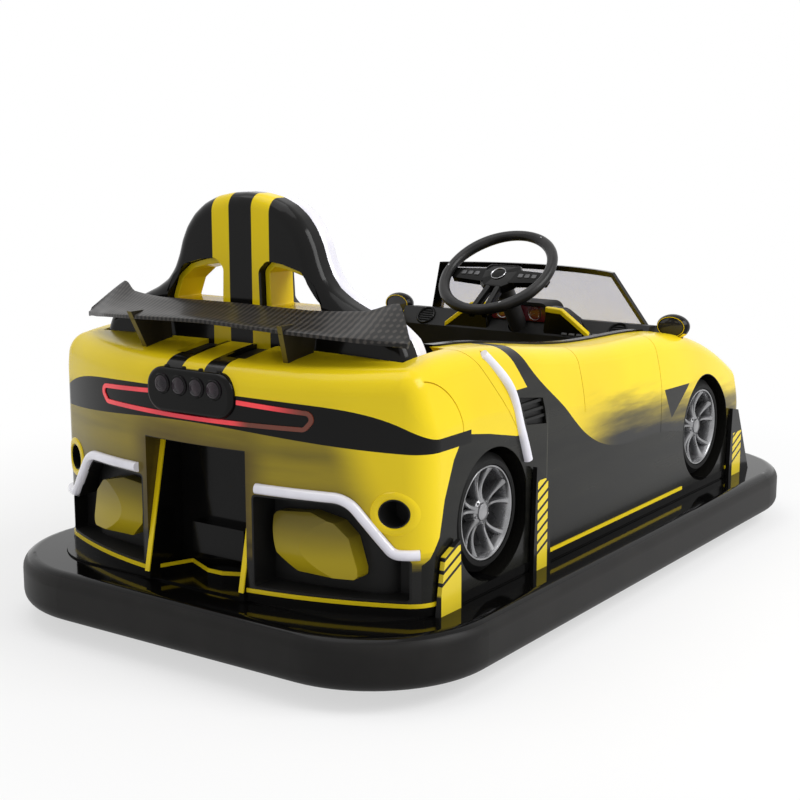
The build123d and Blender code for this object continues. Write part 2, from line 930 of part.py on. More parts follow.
with BuildPart() as body_sides:
    add(body)
    add(side_zone(seam_gap / 2, front_seam_x - seam_gap / 2), mode=Mode.INTERSECT)
    for cut in (cockpit.part, flank_layer, vent_layer, door_layer, mirrored(groove_pair[0])):
        add(cut, mode=Mode.SUBTRACT)
sides = body_sides.solids().sort_by(Axis.Y)
keep("body_side_right", sides[0])
keep("body_side_left", sides[-1])

with BuildPart() as headlamp_zone:
    add(prism_yz(headlamp_outline, nose_round_x, ring_length / 2))
    mirror(about=Plane.XZ)
with BuildPart() as lamp_back:
    with Locations((-headlamp_depth, 0, -headlamp_depth)):
        add(body)
lamp_layer = inlay(headlamp_zone.part, body, lamp_back.part)
with BuildPart() as mouth_zone:
    with BuildSketch(Plane.YZ.offset(nose_round_x)):
        with Locations((0, (mouth_low + mouth_high) / 2)):
            RectangleRounded(2 * mouth_half, mouth_high - mouth_low, mouth_corner)
    extrude(amount=ring_length / 2 - nose_round_x)
mouth_layer = inlay(mouth_zone.part, body, plan_block(mouth_depth))

with BuildPart() as body_front:
    add(body)
    add(block(front_seam_x + seam_gap / 2, ring_length, -ring_width / 2, ring_width / 2, 0,
              body_top), mode=Mode.INTERSECT)
    for cut in (cockpit.part, arches[1], flank_layer, patch_layer, lamp_layer, mouth_layer):
        add(cut, mode=Mode.SUBTRACT)
keep("body_front", body_front.part)
keep("headlamps", lamp_layer)

# Mouth of the nose with its slats
with BuildPart() as slots:
    with BuildSketch(Plane.YZ.offset(nose_round_x)):
        with Locations((0, (mouth_low + mouth_high) / 2)):
            with GridLocations(0, (mouth_high - mouth_low) / slat_count, 1, slat_count):
                Rectangle(2 * (mouth_half - mouth_corner), slat_gap)
    extrude(amount=ring_length / 2 - nose_round_x)
    add(plan_block(slat_depth), mode=Mode.SUBTRACT)
with BuildPart() as front_grille:
    add(mouth_layer)
    add(slots.part, mode=Mode.SUBTRACT)
keep("front_grille", front_grille.part)


# Black panels let flush into the flanks, over the arches and behind the front wheels
with BuildPart() as flank_skin:
    add(flank_layer)
    for cut in (arches[1], vent_layer, cockpit.part, mirrored(groove_pair[0])):
        add(cut, mode=Mode.SUBTRACT)
with BuildPart() as arch_skin:
    add(arch_layer)
    add(side_zone(-seam_gap / 2, ring_length), mode=Mode.SUBTRACT)
    for cut in (arches[0], corner_cut, band_layer, mirrored(groove_pair[0])):
        add(cut, mode=Mode.SUBTRACT)
with BuildPart() as patch_skin:
    add(patch_layer)
    add(arches[1], mode=Mode.SUBTRACT)
with BuildPart() as flank_panels:
    add(flank_skin.part)
    add(arch_skin.part)
    add(patch_skin.part)
keep("flank_panels", flank_panels.part)

# Pockets with black floors: slatted vents in the flanks, scoops in the tail deck
with BuildPart() as bars:
    with BuildSketch(Plane.XZ):
        with Locations(((vent_outline[0][0] + vent_outline[1][0]) / 2,
                        (vent_outline[0][1] + vent_outline[2][1]) / 2)):
            with GridLocations(0, vent_pitch, 1, vent_bars):
                Rectangle(body_half_width, vent_bar)
    extrude(amount=ring_width / 2, both=True)
    add(vent_zone, mode=Mode.INTERSECT)
    add(panel_form, mode=Mode.INTERSECT)
    add(floor_form, mode=Mode.SUBTRACT)
with BuildPart() as vents:
    add(inlay(vent_zone, floor_form, pocket_form))
    add(inlay(scoop_zone, floor_form, pocket_form))
    add(bars.part)
    add(mirrored(groove_pair[0]), mode=Mode.SUBTRACT)
    add(seat_step, mode=Mode.SUBTRACT)
keep("vents", vents.part)

# Light band strip: across the tail under the lamp pod and curling up beside it
with BuildPart() as tail_lamps:
    with BuildSketch(Plane.YZ.offset(tail_x - beyond)):
        with BuildLine():
            FilletPolyline(*lamp_strip[:-1], *[(-y, z) for y, z in lamp_strip[-2::-1]],
                           radius=lamp_strip_bend)
        trace(line_width=lamp_strip_width)
    extrude(amount=2 * beyond)
    add(plan_block(-lamp_proud), mode=Mode.INTERSECT)
    add(plan_block(0), mode=Mode.SUBTRACT)
    add(pod_prism.part, mode=Mode.SUBTRACT)
keep("tail_lamps", tail_lamps.part)

# Lamp pod with four round lenses
with BuildPart() as lamp_pod:
    add(pod_prism.part)
    fillet(lamp_pod.faces().sort_by(Axis.X)[0].edges(), pod_edge)
    with BuildSketch(Plane.YZ.offset(pod_rear_x)):
        with Locations((0, lens_z)):
            with GridLocations(lens_pitch, 0, lens_count, 1):
                Circle(lens_radius + soft_gap)
    extrude(amount=lens_depth, mode=Mode.SUBTRACT)
keep("lamp_pod", lamp_pod.part)

with BuildPart() as lamp_lenses:
    with BuildSketch(Plane.YZ.offset(pod_rear_x - lens_proud)):
        with Locations((0, lens_z)):
            with GridLocations(lens_pitch, 0, lens_count, 1):
                Circle(lens_radius)
    extrude(amount=lens_depth + lens_proud)
keep("lamp_lenses", lamp_lenses.part)

# Diffuser: back wall with a blank carrier and a stepped foot, between two leaning fins
foot_edge = [(tail_x + ahead, y) for ahead, y in foot_line]
foot_edge += [(x, -y) for x, y in foot_edge[::-1]]
foot_outline = [(diffuser_x, foot_edge[0][1]), *foot_edge, (diffuser_x, foot_edge[-1][1])]
fin_face = fin_y - fin_thickness
fin_tip = (tail_x + fin_top_setback, diffuser_top)
with BuildPart() as rear_diffuser:
    with BuildSketch(Plane.XY.offset(deck_top)):
        with BuildLine():
            Polyline(*foot_outline, close=True)
        make_face()
    extrude(amount=foot_height)
    add(block(diffuser_x - diffuser_wall, diffuser_x, -fin_face, fin_face, deck_top,
              diffuser_top))
    add(block(diffuser_x - diffuser_wall - carrier_depth, diffuser_x - diffuser_wall,
              -carrier_half, carrier_half, carrier_low, carrier_high))
    for side in (1, -1):
        with BuildSketch(Plane.XZ.offset(-side * fin_y)):
            with BuildLine():
                Polyline((tail_x - fin_foot_proud, deck_top), (diffuser_x, deck_top),
                         (diffuser_x, diffuser_top), fin_tip,
                         (tail_x - fin_foot_proud, body_foot), close=True)
            make_face()
        extrude(amount=side * fin_thickness)
keep("rear_diffuser", rear_diffuser.part)

# Liners of the corner hollows and of the round outlets above them
with BuildPart() as hollow_liner:
    add(body)
    add(corner_cut, mode=Mode.INTERSECT)
    add(mirrored(corner_pocket(corner_wall)), mode=Mode.SUBTRACT)
    add(mirrored(groove_pair[1]), mode=Mode.SUBTRACT)
with BuildPart() as outlet_liner:
    add(body)
    add(outlet_cut, mode=Mode.INTERSECT)
    add(mirrored(outlet_bore(outlet_radius - outlet_wall, outlet_front - outlet_wall)),
        mode=Mode.SUBTRACT)
with BuildPart() as corner_liners:
    add(hollow_liner.part)
    add(outlet_liner.part)
keep("corner_liners", corner_liners.part)

# Yellow barrels in the corner hollows, bulging to the rear
with BuildPart() as tail_barrels:
    with BuildSketch(Plane.YZ.offset(tail_x - beyond)) as barrel_face:
        with BuildLine():
            Polyline(*barrel_outline, close=True)
        make_face()
        fillet(barrel_face.vertices(), barrel_round)
    extrude(amount=beyond + corner_front)
    with BuildSketch(Plane.XZ):
        with Locations((tail_x + barrel_x, barrel_z)):
            Circle(barrel_radius)
    extrude(amount=ring_width / 2, both=True, mode=Mode.INTERSECT)
    add(plan_block(barrel_inset), mode=Mode.INTERSECT)
    add(plan_block(corner_depth - corner_wall), mode=Mode.SUBTRACT)
    mirror(about=Plane.XZ)
keep("tail_barrels", tail_barrels.part)

# Black skirt under the body with the lip at the nose
with BuildPart() as lip:
    add(plan_block(-splitter_proud, deck_top, deck_top + splitter_height))
    add(block(splitter_x, ring_length, -ring_width / 2, ring_width / 2, 0, body_top),
        mode=Mode.INTERSECT)
with BuildPart() as skirt_foot:
    with BuildSketch(Plane.XY.offset(deck_top)):
        add(body_plan(-trim_proud))
    extrude(amount=foot_height)
    add(lip.part)
    add(cockpit.part, mode=Mode.SUBTRACT)
    add(block(tail_x - beyond, diffuser_x, -fin_y, fin_y, 0, body_top), mode=Mode.SUBTRACT)
keep("skirt_foot", skirt_foot.part)

# Yellow trim: foot line, its steps between the fins, and the edges of the fins
with BuildPart() as skirt_trim:
    with BuildSketch(Plane.XY.offset(body_foot)):
        add(body_plan(-trim_proud))
        add(body_plan(0), mode=Mode.SUBTRACT)
        with Locations(((rear_arch_x - arch_radius + trim_rear_x) / 2, 0)):
            Rectangle(trim_rear_x - rear_arch_x + arch_radius, ring_width, mode=Mode.SUBTRACT)
        with Locations((front_arch_x, 0)):
            Rectangle(2 * arch_radius, ring_width, mode=Mode.SUBTRACT)
        with Locations((tail_x, 0)):
            Rectangle(2 * fin_top_setback, 2 * fin_y, mode=Mode.SUBTRACT)
    extrude(amount=trim_height)
    with BuildSketch(Plane.XY.offset(body_foot)):
        with BuildLine():
            Polyline(*foot_outline, close=True)
        make_face()
        with BuildLine():
            Polyline(*[(x + trim_proud, y) for x, y in foot_outline], close=True)
        make_face(mode=Mode.SUBTRACT)
    extrude(amount=trim_height)
    for side in (1, -1):
        with BuildSketch(Plane.XZ.offset(-side * fin_y)):
            with BuildLine():
                Polyline((tail_x - fin_foot_proud, body_foot), fin_tip,
                         (fin_tip[0] - trim_proud, fin_tip[1]),
                         (tail_x - fin_foot_proud - trim_proud, body_foot), close=True)
            make_face()
        extrude(amount=side * fin_thickness)
keep("skirt_trim", skirt_trim.part)

# Upright fins that stand on the ring's inner edge beside the body
with BuildPart() as corner_fins:
    for outline in corner_fins_outlines:
        add(prism_xz(outline, body_half_width + corner_fin_gap,
                     body_half_width + corner_fin_gap + corner_fin_thickness))
    mirror(about=Plane.XZ)
keep("corner_fins", corner_fins.part)

# Dummy road wheels: tyres and rims with five pairs of spokes, set in the arches
dummy_tyres = []
dummy_rims = []
for arch_x in (rear_arch_x, front_arch_x):
    back_y = body_half_width - wheel_inset - tyre_width
    plane = Plane(origin=(arch_x, back_y, wheel_z), x_dir=(1, 0, 0), z_dir=(0, 1, 0))
    with BuildPart() as tyre:
        with BuildSketch(plane):
            Circle(tyre_radius)
        extrude(amount=tyre_width)
        chamfer(tyre.faces().sort_by(Axis.Y)[-1].edges(), tyre_shoulder)
        with BuildSketch(plane):
            Circle(rim_radius)
        extrude(amount=tyre_width, mode=Mode.SUBTRACT)
    with BuildPart() as rim:
        with BuildSketch(plane):
            Circle(rim_radius)
        extrude(amount=tyre_width)
        with BuildSketch(plane.offset(tyre_width - rim_dish)):
            Circle(rim_radius - rim_lip)
            for pair in range(spoke_pairs):
                for splay in (-spoke_splay, spoke_splay):
                    turn = 90 + pair * 360 / spoke_pairs + splay
                    with Locations(Location((0, 0, 0), (0, 0, turn))):
                        with Locations((rim_radius / 2, 0)):
                            Rectangle(rim_radius, spoke_width, mode=Mode.SUBTRACT)
            Circle(hub_radius, mode=Mode.SUBTRACT)
        extrude(amount=rim_dish, mode=Mode.SUBTRACT)
        with BuildSketch(plane.offset(tyre_width - hub_cap_height)):
            Circle(hub_radius)
            Circle(hub_cap_radius, mode=Mode.SUBTRACT)
        extrude(amount=hub_cap_height, mode=Mode.SUBTRACT)
        with BuildSketch(plane):
            Circle(hub_stub_radius)
        extrude(amount=-hub_standoff)
    dummy_tyres.append(tyre.part)
    dummy_rims.append(rim.part)
for name, solids in (("dummy_tyres", dummy_tyres), ("dummy_rims", dummy_rims)):
    with BuildPart() as wheels:
        for solid in solids:
            add(mirrored(solid))
    keep(name, wheels.part)


def seat_plate(inset, from_x, to_x):
    """Plate of the seat back's bell outline, drawn in by the inset."""
    with BuildPart() as plate:
        with BuildSketch(Plane.YZ.offset(from_x)):
            with BuildLine():
                FilletPolyline(*seat_outline, *[(-y, z) for y, z in seat_outline[::-1]],
                               radius=seat_bends + seat_bends[::-1])
                Line(seat_outline[0], (-seat_outline[0][0], seat_outline[0][1]))
            make_face()
            if inset:
                offset(amount=-inset, mode=Mode.REPLACE)
        extrude(amount=to_x - from_x)
    return plate.part


def seat_slots(wall, from_x, to_x):
    """The two openings of the seat back, less a wall all round."""
    with BuildPart() as pair:
        with BuildSketch(Plane.YZ.offset(from_x)) as slot:
            with BuildLine():
                Polyline(*slot_outline, close=True)
            make_face()
            fillet(slot.vertices(), slot_corner)
            if wall:
                offset(amount=-wall, mode=Mode.REPLACE)
        extrude(amount=to_x - from_x)
        mirror(about=Plane.XZ)
    return pair.part


# Seat: domed bell-shaped back shell with lined slots and a light strip round its edge
light_rear_x = seat_back_front_x - seat_light_rear
with BuildPart() as light_ring:
    add(seat_plate(0, light_rear_x, light_rear_x + seat_light_width))
    add(seat_plate(seat_light_depth, light_rear_x, light_rear_x + seat_light_width),
        mode=Mode.SUBTRACT)
    add(block(seat_back_x, cockpit_rear_x, seat_light_depth - seat_half,
              seat_half - seat_light_depth, 0, seat_step_z + seat_light_depth),
        mode=Mode.SUBTRACT)
with BuildPart() as seat_shell:
    add(seat_plate(0, seat_back_x, seat_back_front_x))
    rear_rim = seat_shell.faces().sort_by(Axis.X)[0].edges().sort_by(Axis.Z)[1:]
    fillet(rear_rim, seat_edge)
    add(seat_slots(0, seat_back_x - beyond, seat_back_front_x + beyond), mode=Mode.SUBTRACT)
    add(light_ring.part, mode=Mode.SUBTRACT)
keep("seat_shell", seat_shell.part)

with BuildPart() as slot_liners:
    add(seat_slots(0, seat_back_x + slot_wall, seat_back_front_x))
    add(seat_slots(slot_wall, seat_back_x - beyond, seat_back_front_x + beyond),
        mode=Mode.SUBTRACT)
keep("slot_liners", slot_liners.part)

with BuildPart() as seat_base:
    add(block(cockpit_rear_x + seat_base_gap, cockpit_rear_x + seat_base_length, -seat_base_half,
              seat_base_half, deck_top, seat_base_top))
    add(block(battery_x - battery_length / 2 - battery_gap,
              battery_x + battery_length / 2 + battery_gap,
              -battery_width / 2 - battery_gap, battery_width / 2 + battery_gap, deck_top,
              deck_top + battery_height + battery_gap), mode=Mode.SUBTRACT)
keep("seat_base", seat_base.part)

with BuildPart() as seat_cushion:
    with BuildSketch(Plane.XY.offset(seat_base_top + soft_gap)):
        with Locations((cockpit_rear_x + seat_base_length / 2 + cushion_setback, 0)):
            RectangleRounded(cushion_length, cushion_width, cushion_corner)
    extrude(amount=cushion_height)
keep("seat_cushion", seat_cushion.part)

with BuildPart() as seat_back_pad:
    with BuildSketch(Plane.YZ.offset(seat_back_front_x + soft_gap)):
        with BuildLine():
            Polyline((-back_pad_half, back_pad_low), (back_pad_half, back_pad_low),
                     (back_pad_top_half, back_pad_high), (-back_pad_top_half, back_pad_high),
                     close=True)
        make_face()
    extrude(amount=back_pad_depth)
    add(seat_slots(0, seat_back_x - beyond, seat_back_front_x + beyond), mode=Mode.SUBTRACT)
keep("seat_back_pad", seat_back_pad.part)

# Rear wing and its two plate struts
with BuildPart() as wing_blade:
    span = [(-y, *rest) for y, *rest in wing_stations[:0:-1]] + wing_stations
    for y, rear, rear_z, front, front_z in span:
        with BuildSketch(Plane.XZ.offset(-y)):
            middle = ((rear + front) / 2 + tail_x, (rear_z + front_z) / 2)
            with BuildLine():
                ThreePointArc((tail_x + rear, rear_z), (middle[0], middle[1] - wing_camber),
                              (tail_x + front, front_z))
                Line((tail_x + front, front_z), (tail_x + front, front_z + wing_thickness))
                ThreePointArc((tail_x + front, front_z + wing_thickness),
                              (middle[0], middle[1] + wing_thickness - wing_camber / 2),
                              (tail_x + rear, rear_z + wing_thickness))
                Line((tail_x + rear, rear_z + wing_thickness), (tail_x + rear, rear_z))
            make_face()
    loft(ruled=True)
keep("wing_blade", wing_blade.part)

with BuildPart() as wing_struts:
    for low, y, place in ((strut_low, strut_y, strut_foot), (strut_high, strut_top_y, strut_top)):
        with BuildSketch(Plane.XY.offset(low)):
            with Locations((tail_x + (place[0] + place[1]) / 2, y)):
                Rectangle(place[1] - place[0], strut_thickness)
    loft()
    mirror(about=Plane.XZ)
    for cut in (parts["wing_blade"], body):
        add(cut, mode=Mode.SUBTRACT)
strut_solids = wing_struts.solids().group_by(Axis.Z)[0]
with BuildPart() as struts_below:
    for solid in strut_solids:
        add(solid)
keep("wing_struts", struts_below.part)

# Windscreen: pillar frame and pane
window = prism_yz([(-pane_low[0], pane_low[1]), pane_low, pane_high,
                   (-pane_high[0], pane_high[1])], rim_strip_front_x, footwell_front_x)
with BuildPart() as windscreen_frame:
    add(screen_solid(screen_frame))
    add(window, mode=Mode.SUBTRACT)
keep("windscreen_frame", windscreen_frame.part)
with BuildPart() as windscreen_glass:
    add(screen_solid(screen_glass))
    add(window, mode=Mode.INTERSECT)
keep("windscreen_glass", windscreen_glass.part)

# Dashboard with an instrument hood and a round passage for the column
with BuildPart() as hood:
    with BuildSketch(Plane.YZ.offset(hood_rear_x)):
        with Locations((0, dash_top - hood_height / 2)):
            RectangleRounded(2 * hood_half, 3 * hood_height, hood_round)
    extrude(amount=dash_front_x - hood_rear_x)
    add(block(0, ring_length, -ring_width, ring_width, 0, dash_lip), mode=Mode.SUBTRACT)
    with BuildSketch(Plane.YZ.offset(hood_rear_x)):
        with Locations((0, dash_top - hood_height / 2)):
            RectangleRounded(2 * (hood_half - hood_wall), 3 * hood_height - 2 * hood_wall,
                             hood_round - hood_wall)
    extrude(amount=hood_recess, mode=Mode.SUBTRACT)
with BuildPart() as dashboard:
    add(prism_xz(dash_outline, -cockpit_half_width, cockpit_half_width))
    add(hood.part)
    with BuildSketch(wheel_plane):
        Circle(column_radius + column_clearance)
    extrude(amount=-2 * column_length, mode=Mode.SUBTRACT)
keep("dashboard", dashboard.part)

# Black strip along the cockpit's sides
with BuildPart() as cockpit_rim:
    with BuildSketch(Plane.XY.offset(deck_top)):
        with Locations(((cockpit_rear_x + cockpit_front_x) / 2, 0)):
            RectangleRounded(cockpit_front_x - cockpit_rear_x, 2 * cockpit_half_width,
                             cockpit_corner)
            RectangleRounded(cockpit_front_x - cockpit_rear_x - 2 * rim_strip_width,
                             2 * (cockpit_half_width - rim_strip_width),
                             cockpit_corner - rim_strip_width, mode=Mode.SUBTRACT)
    extrude(amount=body_top)
    add(block(rim_strip_rear_x, rim_strip_front_x, -ring_width / 2, ring_width / 2, 0,
              2 * body_top), mode=Mode.INTERSECT)
    add(body_form(-rim_strip_proud), mode=Mode.INTERSECT)
    add(body_form(rim_strip_depth), mode=Mode.SUBTRACT)
keep("cockpit_rim", cockpit_rim.part)

# Mirrors: egg-shaped housings on short feet, open to the rear
for side, name in ((1, "left"), (-1, "right")):
    mirror_y = side * (body_half_width - mirror_inset)
    with BuildPart() as mirror_housing:
        for along, half_width, half_height in mirror_stations:
            with BuildSketch(Plane.YZ.offset(mirror_x + along)):
                with Locations((mirror_y, mirror_z)):
                    Ellipse(half_width, half_height)
        loft(ruled=True)
        with BuildSketch(Plane.YZ.offset(mirror_x + mirror_stations[0][0])):
            with Locations((mirror_y, mirror_z)):
                Ellipse(mirror_stations[0][1] - mirror_lip, mirror_stations[0][2] - mirror_lip)
        extrude(amount=mirror_recess, mode=Mode.SUBTRACT)
        with BuildSketch(Plane.XY.offset(mirror_foot_low)):
            with Locations((mirror_x, side * (body_half_width - mirror_foot_inset))):
                Circle(mirror_foot_radius)
        extrude(amount=mirror_z - mirror_foot_low)
        add(body, mode=Mode.SUBTRACT)
    keep("mirror_" + name, mirror_housing.part)

# Steering column, gear housing and steering wheel
column_start = -hub_depth - column_top_gap
with BuildPart() as steering_column:
    with BuildSketch(wheel_plane.offset(column_start)):
        Circle(column_radius)
    extrude(amount=-column_length)
    with BuildSketch(Plane.XY.offset(gear_box_low)):
        with Locations((drive_x - gear_box_setback, 0)):
            RectangleRounded(gear_box_length, gear_box_width, gear_box_corner)
    extrude(amount=gear_box_high - gear_box_low)
    with BuildSketch(Plane.XY.offset(bridge_z + bridge_thickness)):
        with Locations((drive_x - gear_box_setback, 0)):
            with GridLocations(0, gear_box_width - gear_foot, 1, 2):
                Rectangle(gear_foot_length, gear_foot)
    extrude(amount=gear_box_low - bridge_z - bridge_thickness)
    with BuildSketch(wheel_plane.offset(column_start)):
        Circle(shaft_radius + running_gap)
    extrude(amount=bore_end_gap - column_length, mode=Mode.SUBTRACT)
keep("steering_column", steering_column.part)

with BuildPart() as pad:
    with BuildSketch(wheel_plane.offset(-hub_depth)):
        RectangleRounded(pad_length, pad_width, pad_corner)
    extrude(amount=pad_thickness)
    faces_up = pad.faces().sort_by(Axis(wheel_centre, tuple(wheel_plane.z_dir)))
    fillet(faces_up[-1].edges(), pad_edge)
with BuildPart() as steering_wheel:
    with BuildSketch(Plane(origin=wheel_centre, x_dir=(sin(rake), 0, cos(rake)),
                           z_dir=(0, 1, 0))):
        with Locations((grip_circle, 0)):
            Circle(grip_radius)
    revolve(axis=Axis(wheel_centre, tuple(wheel_plane.z_dir)))
    add(pad.part)
    with BuildSketch(wheel_plane.offset(-hub_depth)):
        with Locations((0, grip_circle / 2), (0, -grip_circle / 2)):
            Rectangle(side_spoke, grip_circle)
        with Locations((-grip_circle / 2, low_spoke_offset), (-grip_circle / 2, -low_spoke_offset)):
            Rectangle(grip_circle - grip_radius / 2, low_spoke)
    extrude(amount=spoke_thickness + grip_radius / 2)
    with BuildSketch(wheel_plane.offset(-hub_depth)):
        Circle(shaft_radius)
    extrude(amount=shaft_end_gap + column_top_gap - column_length)
keep("steering_wheel", steering_wheel.part)

# Accelerator pedal on its arm in the footwell
with BuildPart() as pedals:
    add(block(pedal_x, pedal_x + pedal_base, -pedal_width / 2, pedal_width / 2, deck_top,
              deck_top + pedal_thickness))
    add(prism_xz([(pedal_x + pedal_arm, deck_top), (pedal_x + pedal_base, deck_top),
                  (pedal_x + pedal_base, deck_top + pedal_rise / 2),
                  (pedal_x + pedal_base / 2, deck_top + pedal_rise)],
                 -pedal_arm / 2, pedal_arm / 2))
    with BuildSketch(Plane.XZ.offset(-pedal_width / 2)):
        with BuildLine():
            Polyline((pedal_x - pedal_base / 4, deck_top + pedal_arm + pedal_thickness),
                     (pedal_x + pedal_thickness - pedal_base / 4,
                      deck_top + pedal_arm + pedal_thickness / 2),
                     (pedal_x + pedal_base, deck_top + pedal_rise),
                     (pedal_x + pedal_base - pedal_thickness, deck_top + pedal_rise), close=True)
        make_face()
    extrude(amount=pedal_width)
keep("pedals", pedals.part)

with BuildPart() as light_tubes:
    for light in light_pair:
        add(mirrored(light))
    add(light_ring.part)
keep("light_tubes", light_tubes.part)

for name, solid in parts.items():
    export_step(solid, "parts/" + name + ".step")
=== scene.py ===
import math

import bmesh
import bpy
from mathutils import Matrix, Vector
from mathutils.bvhtree import BVHTree


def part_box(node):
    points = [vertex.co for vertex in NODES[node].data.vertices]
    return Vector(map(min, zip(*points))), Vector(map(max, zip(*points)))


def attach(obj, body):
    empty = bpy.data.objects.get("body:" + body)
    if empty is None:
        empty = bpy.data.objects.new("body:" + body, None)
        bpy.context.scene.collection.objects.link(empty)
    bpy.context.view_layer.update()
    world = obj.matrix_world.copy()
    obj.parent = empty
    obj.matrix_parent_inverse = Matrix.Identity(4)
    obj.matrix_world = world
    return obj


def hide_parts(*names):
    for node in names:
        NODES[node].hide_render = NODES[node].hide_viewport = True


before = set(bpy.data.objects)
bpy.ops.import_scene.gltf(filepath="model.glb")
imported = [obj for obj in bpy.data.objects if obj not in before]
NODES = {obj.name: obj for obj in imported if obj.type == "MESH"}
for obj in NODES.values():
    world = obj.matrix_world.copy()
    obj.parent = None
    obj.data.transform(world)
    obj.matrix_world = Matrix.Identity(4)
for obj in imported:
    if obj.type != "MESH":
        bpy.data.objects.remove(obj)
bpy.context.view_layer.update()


# Materials

class Paint:
    """One procedural material: a principled surface with short helpers for its node tree."""

    def __init__(self, name, metallic=0.0, coat=0.0, coat_rough=0.03, specular=0.5):
        self.material = bpy.data.materials.new(name)
        self.material.use_nodes = True
        self.tree = self.material.node_tree
        self.shader = self.tree.nodes["Principled BSDF"]
        self.set("Metallic", metallic)
        self.set("Coat Weight", coat)
        self.set("Coat Roughness", coat_rough)
        self.set("Specular IOR Level", specular)
        self.where = self.add("ShaderNodeTexCoord").outputs["Object"]
        split = self.add("ShaderNodeSeparateXYZ")
        self.tree.links.new(self.where, split.inputs[0])
        self.x, self.y, self.z = split.outputs

    def add(self, kind):
        return self.tree.nodes.new(kind)

    def set(self, socket, value):
        """A number, a colour or another node's output goes into one of the shader's sockets."""
        self.feed(self.shader.inputs[socket], value)

    def feed(self, socket, value):
        if isinstance(value, bpy.types.NodeSocket):
            self.tree.links.new(value, socket)
        elif isinstance(value, tuple):
            socket.default_value = (*value, 1)
        else:
            socket.default_value = value

    def math(self, operation, first, second=0.0):
        node = self.add("ShaderNodeMath")
        node.operation = operation
        self.feed(node.inputs[0], first)
        self.feed(node.inputs[1], second)
        return node.outputs[0]

    def times(self, first, second):
        return self.math("MULTIPLY", first, second)

    def step(self, value, low, high):
        """0 below low and 1 above high, smooth between; low may be the greater."""
        node = self.add("ShaderNodeMapRange")
        node.interpolation_type = "SMOOTHSTEP"
        self.feed(node.inputs["Value"], value)
        node.inputs["From Min"].default_value = low
        node.inputs["From Max"].default_value = high
        return node.outputs["Result"]

    def between(self, value, low, high, soft=0.0006):
        """1 between two values and 0 outside them."""
        return self.math("MULTIPLY", self.step(value, low - soft, low + soft),
                         self.step(value, high + soft, high - soft))

    def noise(self, scale, stretch=(1, 1, 1), detail=3.0, rough=0.5):
        place = self.add("ShaderNodeMapping")
        place.inputs["Scale"].default_value = stretch
        self.feed(place.inputs["Vector"], self.where)
        node = self.add("ShaderNodeTexNoise")
        node.inputs["Scale"].default_value = scale
        node.inputs["Detail"].default_value = detail
        node.inputs["Roughness"].default_value = rough
        self.feed(node.inputs["Vector"], place.outputs[0])
        return node.outputs["Fac"]

    def wave(self, scale, direction, distortion=0.0):
        node = self.add("ShaderNodeTexWave")
        node.bands_direction = direction
        node.inputs["Scale"].default_value = scale
        node.inputs["Distortion"].default_value = distortion
        self.feed(node.inputs["Vector"], self.where)
        return node.outputs["Fac"]

    def mix(self, factor, first, second):
        node = self.add("ShaderNodeMix")
        node.data_type = "RGBA"
        self.feed(node.inputs["Factor"], factor)
        self.feed(node.inputs["A"], first)
        self.feed(node.inputs["B"], second)
        return node.outputs["Result"]

    def blend(self, factor, first, second):
        """A number that goes from first to second with the factor."""
        node = self.add("ShaderNodeMapRange")
        self.feed(node.inputs["Value"], factor)
        node.inputs["To Min"].default_value = first
        node.inputs["To Max"].default_value = second
        return node.outputs["Result"]

    def bump(self, height, strength, distance):
        node = self.add("ShaderNodeBump")
        node.inputs["Strength"].default_value = strength
        node.inputs["Distance"].default_value = distance
        self.feed(node.inputs["Height"], height)
        self.set("Normal", node.outputs["Normal"])

    def facing(self, axis):
        """The surface normal's share along an axis: 0 for x, 1 for y and 2 for z."""
        normal = self.add("ShaderNodeSeparateXYZ")
        self.feed(normal.inputs[0], self.add("ShaderNodeNewGeometry").outputs["True Normal"])
        return normal.outputs[axis]

    def facing_up(self):
        """1 where the surface faces up and 0 on upright sides."""
        return self.step(self.facing(2), 0.55, 0.95)


def plain(name, low, high, scale, rough, grain=None, **finish):
    """A moulded or painted surface: mottled colour and roughness, with optional grain."""
    paint = Paint(name, **finish)
    cloud = paint.noise(scale)
    paint.set("Base Color", paint.mix(paint.step(cloud, 0.3, 0.7), low, high))
    paint.set("Roughness", paint.blend(cloud, *rough))
    if grain:
        size, strength, distance = grain
        paint.bump(paint.noise(size, detail=4.0, rough=0.6), strength, distance)
    return paint.material


STRIPE_INNER = 0.030
STRIPE_OUTER = 0.076
YELLOW = (0.90, 0.68, 0.010)
YELLOW_DEEP = (0.82, 0.60, 0.008)
# The next two colours are painted shade on the yellow; the third is the real black of lower parts, stripes
# and cut walls, and also painted deep shade.
OLIVE_SHADE = (0.125, 0.098, 0.016)
UMBER_SHADE = (0.045, 0.024, 0.010)
BLACK_AND_SHADE = (0.006, 0.0058, 0.005)
PEEL = (70, 0.03, 0.001)


def yellow_paint(name, shade=None):
    """Gloss yellow; the shade function gives where painted shade turns it olive, and where it turns to
    black.
    """
    paint = Paint(name, coat=0.15, coat_rough=0.025, specular=0.15)
    cloud = paint.noise(2.2)
    colour = paint.mix(paint.step(cloud, 0.3, 0.7), YELLOW_DEEP, YELLOW)
    if shade:
        for factor, tint in shade(paint):
            colour = paint.mix(factor, colour, tint)
    paint.set("Base Color", colour)
    paint.set("Roughness", paint.blend(cloud, 0.2, 0.28))
    paint.bump(paint.noise(PEEL[0]), PEEL[1], PEEL[2])
    return paint.material


ARCHES = [(-0.553, 0.303), (0.502, 0.303)]
ARCH_WALL = 0.1396


def inside_arches(paint):
    """1 on the walls cut round the dummy wheels."""
    inside = 0.0
    for x, z in ARCHES:
        across = paint.math("POWER", paint.math("SUBTRACT", paint.x, x), 2.0)
        up = paint.math("POWER", paint.math("SUBTRACT", paint.z, z), 2.0)
        reach = paint.math("SQRT", paint.math("ADD", across, up))
        inside = paint.math("MAXIMUM", inside, paint.step(reach, ARCH_WALL, ARCH_WALL - 0.0008))
    return inside


